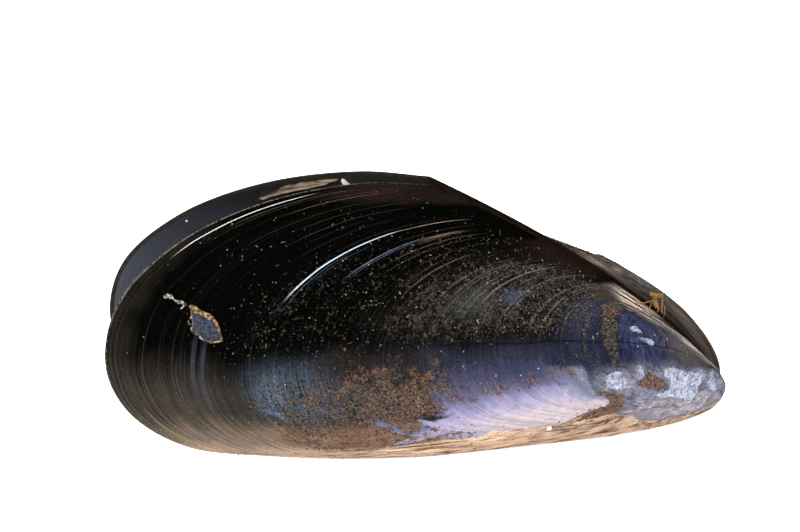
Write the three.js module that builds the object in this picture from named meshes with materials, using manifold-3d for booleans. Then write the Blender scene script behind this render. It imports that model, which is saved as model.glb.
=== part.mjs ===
// A whole mussel shell, slightly agape, standing hinge up on its two lower edges. Millimetres, +Z up.
//
// Each valve is a growth spiral: its edge, drawn once at full size, is scaled down towards the beak, lifted about
// the hinge line and turned in its own plane, and the surface is swept by all of its earlier sizes. A point of a
// valve is therefore named by its growth stage, from 0 at the beak to 1 at the edge, and by its share of the way
// along the edge, from 0 at the beak, along the lower edge and round the rear end, to 1 at the end of the hinge.

import * as THREE from 'three';
import { mergeVertices } from 'three/addons/utils/BufferGeometryUtils.js';
import Module from 'manifold-3d';

const wasm = await Module();
wasm.setup();

// The edge of a valve in the plane where the two valves meet: x forward, y up, the beak at 0, 0.
const EDGE = [
  [0, 0], [-1.2, -1.5], [-6, -2.8], [-15, -3.3], [-28, -3.1], [-40, -2.6], [-51, -1], [-60, 1.3],
  [-65.8, 6.2], [-67.7, 12], [-65.5, 19.4], [-58.6, 25.4], [-49, 29], [-38.5, 30], [-31, 29],
];

// The growth spiral.
const BEAK_LIFT = 123; // degrees that the youngest edge stands up about the hinge line
const LIFT_POWER = 0.585; // how early in growth that lift is lost
const TURN_RATE = 11.7; // degrees of turn in the valve's plane each time it grows 2.72 times longer
const YOUNGEST = 0.04; // growth stage below which the beak stops turning

// The pose of the two valves.
const GAPE = 13.2; // degrees between the valves
const HINGE_GAP = 1; // from the middle plane to each valve at the hinge
const PITCH = 2; // degrees that the whole shell leans, rear end up, standing on its lower edges

// The shell wall, as a cavity that is a smaller copy of the outside.
const CAVITY_CENTRE = new THREE.Vector3(-52, 10, 0);
const CAVITY_SCALE = 0.947; // along the valve's plane, so the wall is thickest at the beak
const CAVITY_DEPTH_SCALE = 0.91; // across that plane
const EDGE_WALL_SHARE = 0.6; // share of the full wall left at the edge
const EDGE_WALL_REACH = 0.15; // growth stage over which the wall reaches its full thickness
const BEAK_WALL_REACH = 0.2; // share of the edge next to the beak over which it stays thicker
const CAVITY_MOUTH = 1; // how far the cavity cuts past the plane of the edge

// Growth ledges, where the shell stopped growing for a while.
const LEDGES = [0.3, 0.42, 0.54, 0.665, 0.785, 0.9];
const FIRST_RIDGE = 0.2;
const LEDGE_HEIGHT = 0.28;
const LEDGE_WIDTH = 0.006; // half width of the step, in growth stage
const LEDGE_FADE = 0.16; // share of the edge at each end over which the ledges die out

// The chip where the dark skin has flaked off, on the right valve near its rear end.
const CHIP_AT = { stage: 0.873, along: 0.677 };
const CHIP_OUTLINE = [[-2.4, -0.6], [-1.5, -1.5], [0.4, -1.3], [2.2, -0.9], [2.7, 0.2], [1.4, 1.2], [-0.6, 1.1], [-2, 0.5]];
const CHIP_DEPTH = 0.3;
const CHIP_TILT = 68; // degrees from the growth direction to the long side of the chip

// The ligament, between the valves along the hinge.
const LIGAMENT_STAGES = [0.12, 0.93];
const LIGAMENT_DEPTH = 2.4;
const LIGAMENT_RECESS = 0.15;

const CLEARANCE = 0.28; // between pieces that rest against each other

// The scrap of dried tissue inside the left valve.
const SCRAP_STAGES = [0.915, 0.953];
const SCRAP_ALONG = [0.805, 0.898];
const SCRAP_THICKNESS = 0.35;

// The snag of threads across the hinge.
const THREADS_AT = 0.325;
const THREADS_LENGTH = 1;
const THREADS_THICKNESS = 0.35;
const THREADS_REACH = [[0, 0.3], [1.1, 0.25], [2.2, -0.1]]; // across the gap and down a flank, right side

// How finely the faceted surfaces are cut.
const SIDES_ALONG = 40;
const CAVITY_ROWS = 14;
const CAVITY_SIDES = 32;

const UP_FROM_PLANE = new THREE.Vector3(0, 0, 1);
const edgeCurve = new THREE.CatmullRomCurve3(EDGE.map(([x, y]) => new THREE.Vector3(x, y, 0)), false, 'centripetal');
edgeCurve.arcLengthDivisions = 1200;
const hingeAxis = new THREE.Vector3(...EDGE.at(-1), 0).normalize();
const towardsLowerEdge = new THREE.Vector3().crossVectors(UP_FROM_PLANE, hingeAxis);

const radians = THREE.MathUtils.degToRad;

function smooth(value) {
  return THREE.MathUtils.smoothstep(value, 0, 1);
}

// The plain swept surface of a valve, without ledges.
function growthPoint(stage, along) {
  const lift = radians(BEAK_LIFT) * (1 - stage ** LIFT_POWER);
  const turn = radians(TURN_RATE) * Math.log(1 / Math.max(stage, YOUNGEST));
  return edgeCurve.getPointAt(THREE.MathUtils.clamp(along, 0, 1))
    .applyAxisAngle(hingeAxis, lift)
    .applyAxisAngle(UP_FROM_PLANE, -turn)
    .multiplyScalar(stage);
}

function outward(stage, along) {
  const step = 0.004;
  const s = THREE.MathUtils.clamp(along, step, 1 - step);
  const t = THREE.MathUtils.clamp(stage, step, 1 - step);
  const alongEdge = growthPoint(t, s + step).sub(growthPoint(t, s - step));
  const ofGrowth = growthPoint(t + step, s).sub(growthPoint(t - step, s));
  return alongEdge.cross(ofGrowth).normalize();
}

// Each ridge swells slowly towards the next ledge and drops off there.
function ridgeHeight(stage, along) {
  const starts = [FIRST_RIDGE, ...LEDGES];
  const ends = [...LEDGES, 1];
  const ridge = starts.findIndex((start, i) => stage >= start && stage <= ends[i]);
  if (ridge < 0 || ridge === starts.length - 1) return 0;
  const share = (stage - starts[ridge]) / (ends[ridge] - LEDGE_WIDTH - starts[ridge]);
  const fade = smooth(along / LEDGE_FADE) * smooth((1 - along) / LEDGE_FADE);
  return LEDGE_HEIGHT * fade * THREE.MathUtils.clamp(share, 0, 1);
}

function outerPoint(stage, along) {
  const height = ridgeHeight(stage, along);
  const point = growthPoint(stage, along);
  return height > 0 ? point.addScaledVector(outward(stage, along), height) : point;
}

function cavityPoint(stage, along) {
  const point = growthPoint(stage, along);
  const fullness = Math.max(smooth((1 - stage) / EDGE_WALL_REACH), 1 - smooth(along / BEAK_WALL_REACH));
  const share = THREE.MathUtils.lerp(EDGE_WALL_SHARE, 1, fullness);
  const inwards = CAVITY_CENTRE.clone().sub(point).multiplyScalar(1 - CAVITY_SCALE);
  inwards.z = -point.z * (1 - CAVITY_DEPTH_SCALE);
  return point.addScaledVector(inwards, share);
}

function outerStages() {
  const stages = [0, YOUNGEST, 0.08, 0.14, FIRST_RIDGE];
  const ends = [...LEDGES, 1];
  let start = FIRST_RIDGE;
  for (const end of ends) {
    stages.push((start + end) / 2);
    if (end < 1) stages.push(end - LEDGE_WIDTH, end + LEDGE_WIDTH);
    start = end;
  }
  stages.push(1);
  return stages;
}

function evenly(count) {
  return Array.from({ length: count + 1 }, (_, i) => i / count);
}

// Closes a swept surface over its flat side, at the plane of the edge or, with a mouth, that far past it.
function closedSweep(point, stages, shares, mouth = 0) {
  const corners = [];
  const triangles = [];
  const rows = stages.map((stage) => shares.map((along) => corners.push(point(stage, along)) - 1));
  for (let i = 0; i + 1 < rows.length; i++) {
    for (let j = 0; j + 1 < shares.length; j++) {
      const [a, b, c, d] = [rows[i][j], rows[i][j + 1], rows[i + 1][j + 1], rows[i + 1][j]];
      triangles.push([a, b, c], [a, c, d]);
    }
  }
  const hingeSide = rows.slice(1, -1).map((row) => row.at(-1)).reverse();
  const rim = [...rows.at(-1), ...hingeSide];
  const floor = mouth > 0
    ? rim.map((k) => corners.push(corners[k].clone().setZ(-mouth)) - 1)
    : rim;
  if (mouth > 0) {
    rim.forEach((k, i) => {
      const next = (i + 1) % rim.length;
      triangles.push([k, rim[next], floor[next]], [k, floor[next], floor[i]]);
    });
  }
  const flat = floor.map((k) => new THREE.Vector2(corners[k].x, corners[k].y));
  for (const [a, b, c] of THREE.ShapeUtils.triangulateShape(flat, [])) triangles.push([floor[a], floor[c], floor[b]]);
  return geometryOf(corners, triangles);
}

function geometryOf(corners, triangles) {
  const geometry = new THREE.BufferGeometry();
  geometry.setAttribute('position', new THREE.Float32BufferAttribute(corners.flatMap((c) => c.toArray()), 3));
  geometry.setIndex(triangles.flat());
  return geometry;
}

function solidOf(geometry) {
  const bare = geometry.clone();
  bare.deleteAttribute('normal');
  bare.deleteAttribute('uv');
  const merged = mergeVertices(bare, 1e-5);
  const index = merged.index.array;
  const kept = [];
  for (let i = 0; i < index.length; i += 3) {
    const [a, b, c] = [index[i], index[i + 1], index[i + 2]];
    if (a !== b && b !== c && a !== c) kept.push(a, b, c);
  }
  return new wasm.Manifold(new wasm.Mesh({
    numProp: 3,
    vertProperties: new Float32Array(merged.attributes.position.array),
    triVerts: new Uint32Array(kept),
  }));
}

function geometryFrom(solid) {
  const mesh = solid.getMesh();
  const geometry = new THREE.BufferGeometry();
  geometry.setAttribute('position', new THREE.BufferAttribute(new Float32Array(mesh.vertProperties), 3));
  geometry.setIndex(new THREE.BufferAttribute(new Uint32Array(mesh.triVerts), 1));
  return geometry;
}

// The same shape on the other side of the middle plane.
function mirrored(geometry) {
  const copy = geometry.clone().scale(1, 1, -1);
  const index = Array.from(copy.index.array);
  for (let i = 0; i < index.length; i += 3) [index[i], index[i + 1]] = [index[i + 1], index[i]];
  copy.setIndex(index);
  return copy;
}

function chipSolid() {
  const { stage, along } = CHIP_AT;
  const normal = outward(stage, along);
  const longWay = growthPoint(stage + 0.01, along).sub(growthPoint(stage - 0.01, along))
    .projectOnPlane(normal).normalize().applyAxisAngle(normal, radians(CHIP_TILT));
  const acrossWay = new THREE.Vector3().crossVectors(normal, longWay);
  const shape = new THREE.Shape(CHIP_OUTLINE.map(([x, y]) => new THREE.Vector2(x, y)));
  const geometry = new THREE.ExtrudeGeometry(shape, { depth: 2, bevelEnabled: false });
  geometry.translate(0, 0, -CHIP_DEPTH);
  geometry.applyMatrix4(new THREE.Matrix4().makeBasis(longWay, acrossWay, normal));
  const at = outerPoint(stage, along);
  return solidOf(geometry.translate(at.x, at.y, at.z));
}

function valveGeometry(chipped) {
  const outside = solidOf(closedSweep(outerPoint, outerStages(), evenly(SIDES_ALONG)));
  const cavityStages = evenly(CAVITY_ROWS).map((share) => share ** 1.2);
  const cavity = solidOf(closedSweep(cavityPoint, cavityStages, evenly(CAVITY_SIDES), CAVITY_MOUTH));
  const shell = outside.subtract(cavity);
  return geometryFrom(chipped ? shell.subtract(chipSolid()) : shell);
}

// Half the free space between the valves at a point of the middle plane.
function halfGap(point) {
  const half = radians(GAPE / 2);
  return point.dot(towardsLowerEdge) * Math.sin(half) + HINGE_GAP * Math.cos(half);
}

function hingeFrame(stage) {
  const at = growthPoint(stage, 1);
  const tangent = growthPoint(stage + 0.01, 1).sub(growthPoint(stage - 0.01, 1)).normalize();
  const inwards = new THREE.Vector3().crossVectors(UP_FROM_PLANE, tangent);
  return { at, tangent, inwards };
}

function ligamentGeometry() {
  const stations = 16;
  const section = [[0, 0], [0.1, 0.75], [0.3, 1], [0.75, 1], [0.95, 0.6], [1, 0], [0.95, -0.6], [0.75, -1], [0.3, -1], [0.1, -0.75]];
  const corners = [];
  const triangles = [];
  for (let i = 0; i <= stations; i++) {
    const share = i / stations;
    const { at, inwards } = hingeFrame(THREE.MathUtils.lerp(...LIGAMENT_STAGES, share));
    const taper = 0.35 + 0.65 * Math.sqrt(Math.sin(Math.PI * THREE.MathUtils.clamp(share, 0.03, 0.97)));
    for (const [depth, side] of section) {
      const point = at.clone().addScaledVector(inwards, LIGAMENT_RECESS + depth * taper * LIGAMENT_DEPTH);
      corners.push(point.setZ(side * taper * (halfGap(point) - CLEARANCE)));
    }
  }
  const n = section.length;
  for (let i = 0; i < stations; i++) {
    for (let j = 0; j < n; j++) {
      const [a, b] = [i * n + j, i * n + ((j + 1) % n)];
      triangles.push([a, b + n, b], [a, a + n, b + n]);
    }
  }
  for (let j = 1; j + 1 < n; j++) {
    const last = stations * n;
    triangles.push([0, j, j + 1], [last, last + j + 1, last + j]);
  }
  return geometryOf(corners, triangles);
}

// A thin scrap that lies on the inside of a valve, widest in its middle.
function scrapGeometry() {
  const lengthSteps = 12;
  const widthSteps = 3;
  const corners = [];
  const triangles = [];
  const middle = (SCRAP_STAGES[0] + SCRAP_STAGES[1]) / 2;
  const halfWidth = (SCRAP_STAGES[1] - SCRAP_STAGES[0]) / 2;
  const grid = [0, 1].map((layer) => evenly(lengthSteps).map((u) => evenly(widthSteps).map((v) => {
    const swell = 0.35 + 0.65 * Math.sin(Math.PI * (0.08 + 0.84 * u));
    const stage = middle + halfWidth * (2 * v - 1) * swell;
    const along = THREE.MathUtils.lerp(...SCRAP_ALONG, u);
    const inside = cavityPoint(stage, along);
    const rise = CLEARANCE + layer * SCRAP_THICKNESS;
    return corners.push(inside.addScaledVector(outward(stage, along), -rise)) - 1;
  })));
  const [under, over] = grid;
  const quad = (a, b, c, d) => triangles.push([a, b, c], [a, c, d]);
  for (let i = 0; i < lengthSteps; i++) {
    for (let j = 0; j < widthSteps; j++) {
      quad(under[i][j], under[i + 1][j], under[i + 1][j + 1], under[i][j + 1]);
      quad(over[i][j], over[i][j + 1], over[i + 1][j + 1], over[i + 1][j]);
    }
    quad(under[i][0], over[i][0], over[i + 1][0], under[i + 1][0]);
    quad(under[i][widthSteps], under[i + 1][widthSteps], over[i + 1][widthSteps], over[i][widthSteps]);
  }
  for (let j = 0; j < widthSteps; j++) {
    quad(under[0][j], under[0][j + 1], over[0][j + 1], over[0][j]);
    quad(under[lengthSteps][j], over[lengthSteps][j], over[lengthSteps][j + 1], under[lengthSteps][j + 1]);
  }
  return geometryOf(corners, triangles);
}

// A low arch over the hinge gap, its ends lying down both flanks.
function threadsGeometry() {
  const { at, tangent, inwards } = hingeFrame(THREADS_AT);
  const outwards = inwards.clone().negate();
  const across = new THREE.Vector3().crossVectors(outwards, tangent).normalize();
  const half = THREADS_REACH.map(([z, height]) => [z, height + CLEARANCE]);
  const under = [...half.slice(1).reverse().map(([z, height]) => [-z, height]), ...half];
  const over = under.map(([z, height]) => [z, height + THREADS_THICKNESS]).reverse();
  const shape = new THREE.Shape([...under, ...over].map(([z, height]) => new THREE.Vector2(z, height)));
  const geometry = new THREE.ExtrudeGeometry(shape, { depth: THREADS_LENGTH, bevelEnabled: false });
  geometry.translate(0, 0, -THREADS_LENGTH / 2);
  geometry.applyMatrix4(new THREE.Matrix4().makeBasis(across, outwards, tangent));
  return geometry.translate(at.x, at.y, at.z);
}

function piece(name, geometry, color, roughness) {
  const mesh = new THREE.Mesh(geometry, new THREE.MeshStandardMaterial({ color, roughness, metalness: 0 }));
  mesh.name = name;
  return mesh;
}

const rightSide = new THREE.Group();
rightSide.quaternion.setFromAxisAngle(hingeAxis, radians(GAPE / 2));
const rightValve = piece('right_valve', valveGeometry(true), 0x1d1a1c, 0.3);
rightValve.position.z = HINGE_GAP;
rightSide.add(rightValve);

const leftSide = new THREE.Group();
leftSide.quaternion.setFromAxisAngle(hingeAxis, radians(-GAPE / 2));
const leftValve = piece('left_valve', mirrored(valveGeometry(false)), 0x23222a, 0.35);
const scrap = piece('dried_mantle', mirrored(scrapGeometry()), 0xb39a7f, 0.8);
leftValve.position.z = -HINGE_GAP;
scrap.position.z = -HINGE_GAP;
leftSide.add(leftValve, scrap);

const ligament = piece('ligament', ligamentGeometry(), 0x17110e, 0.6);
const threads = piece('byssus_threads', threadsGeometry(), 0x9a6a2c, 0.6);

// From the valves' own plane to the standing shell: its plane upright, the beak along +X.
const standing = new THREE.Group();
standing.rotation.x = Math.PI / 2;
standing.add(rightSide, leftSide, ligament, threads);

const leaning = new THREE.Group();
leaning.rotation.y = radians(PITCH);
leaning.add(standing);

const mussel = new THREE.Group();
mussel.add(leaning);

// The origin is the middle of the underside of the whole shell's box.
const box = new THREE.Box3().setFromObject(mussel, true);
const middle = box.getCenter(new THREE.Vector3());
leaning.position.set(-middle.x, -middle.y, -box.min.z);

export default mussel;
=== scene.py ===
# Looks of a whole mussel shell, standing hinge up and slightly agape.
#
# Shapes are worked out in millimetres in the shell's own frame, x towards the beaks, y up towards the
# hinge and z towards the right valve, and are carried to the standing shell, in metres, at the end. A point
# of a valve is named by its growth stage, from 0 at the beak to 1 at the edge, and by its share of the way
# along the edge, from 0 at the beak, along the lower edge and round the rear end, to 1 at the end of the
# hinge. Side is 1 for the right valve, the near one, and -1 for the left.

import functools
import itertools
import math
from types import SimpleNamespace

import bmesh
import bpy
import numpy as np
from mathutils import Matrix, Vector

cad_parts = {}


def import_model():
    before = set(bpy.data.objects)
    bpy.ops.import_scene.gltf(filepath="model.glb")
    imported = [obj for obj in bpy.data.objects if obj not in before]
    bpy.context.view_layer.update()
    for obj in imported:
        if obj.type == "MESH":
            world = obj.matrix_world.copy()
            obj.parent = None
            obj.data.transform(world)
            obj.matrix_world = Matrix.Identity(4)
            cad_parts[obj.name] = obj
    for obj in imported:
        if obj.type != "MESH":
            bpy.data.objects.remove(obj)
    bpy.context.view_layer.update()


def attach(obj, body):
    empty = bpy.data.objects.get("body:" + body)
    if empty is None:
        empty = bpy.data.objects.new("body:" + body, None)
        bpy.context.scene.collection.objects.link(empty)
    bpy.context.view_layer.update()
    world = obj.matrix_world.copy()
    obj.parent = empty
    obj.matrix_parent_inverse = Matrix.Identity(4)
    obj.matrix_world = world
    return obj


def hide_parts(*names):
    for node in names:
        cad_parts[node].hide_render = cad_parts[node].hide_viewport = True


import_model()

MM = 0.001

RIGHT, LEFT = 1, -1

# The shape of the valves, as in the part's source, lengths in millimetres and angles in degrees.
EDGE = [
    (0, 0), (-1.2, -1.5), (-6, -2.8), (-15, -3.3), (-28, -3.1), (-40, -2.6), (-51, -1), (-60, 1.3),
    (-65.8, 6.2), (-67.7, 12), (-65.5, 19.4), (-58.6, 25.4), (-49, 29), (-38.5, 30), (-31, 29),
]
BEAK_LIFT = 123
LIFT_POWER = 0.585
TURN_RATE = 11.7
YOUNGEST = 0.04
GAPE = 13.2
HINGE_GAP = 1.0
PITCH = 2.0
CAVITY_CENTRE = np.array([-52.0, 10.0, 0.0])
CAVITY_SCALE = 0.947
CAVITY_DEPTH_SCALE = 0.91
EDGE_WALL_SHARE = 0.6
EDGE_WALL_REACH = 0.15
BEAK_WALL_REACH = 0.2
LEDGES = [0.3, 0.42, 0.54, 0.665, 0.785, 0.9]
FIRST_RIDGE = 0.2
LEDGE_HEIGHTS = [0.28, 0.28, 0.28, 0.28, 0.28, 0.1, 0]
LEDGE_WIDTH = 0.006
LEDGE_FADE = 0.16
LIGAMENT_STAGES = (0.1, 0.94)
LIGAMENT_DEPTH = 2.4
LIGAMENT_RECESS = 0.3
LIGAMENT_RIDGES = 0.3
LIGAMENT_OVERLAP = 0.02

# How finely the surfaces are cut, and how near the chip, and how much more finely there. The inside takes
# every sixth stage.
STAGES = 230
SHARES = 340
CAVITY_STEP = 6
CHIP_STAGE = 0.868
CHIP_SHARE = 0.677
CHIP_REACH = (0.038, 0.024)
CHIP_CROWDING = (2.5, 4.0)

# Heights and depths of the relief, and of the ridge round a valve's lip, in millimetres.
GROWTH_LINES = 0.06
SWELLINGS = 0.2
CRUST_RISE = 0.02
CRUST_LUMPS = 0.26
RUST_LUMPS = 0.07
WEAR_DEPTH = 0.06
CREASE_DEPTH = 0.06
CHIP_DEPTH = 0.26
LIP_RISE = 0.08

# The fine dark line over the umbo, in stages and shares.
CREASE_SHARE = 0.652
CREASE_HALF = 0.003
CREASE_WAVER = 0.004
CREASE_STAGES = (0.15, 0.56)

# Lengths that turn a distance over the shell, in millimetres, into stages and shares.
STAGE_LENGTH = 62.0
SHARE_LENGTH = 160.0

# Numbers that start each valve's noise.
SEEDS = {RIGHT: 11, LEFT: 57}

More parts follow.
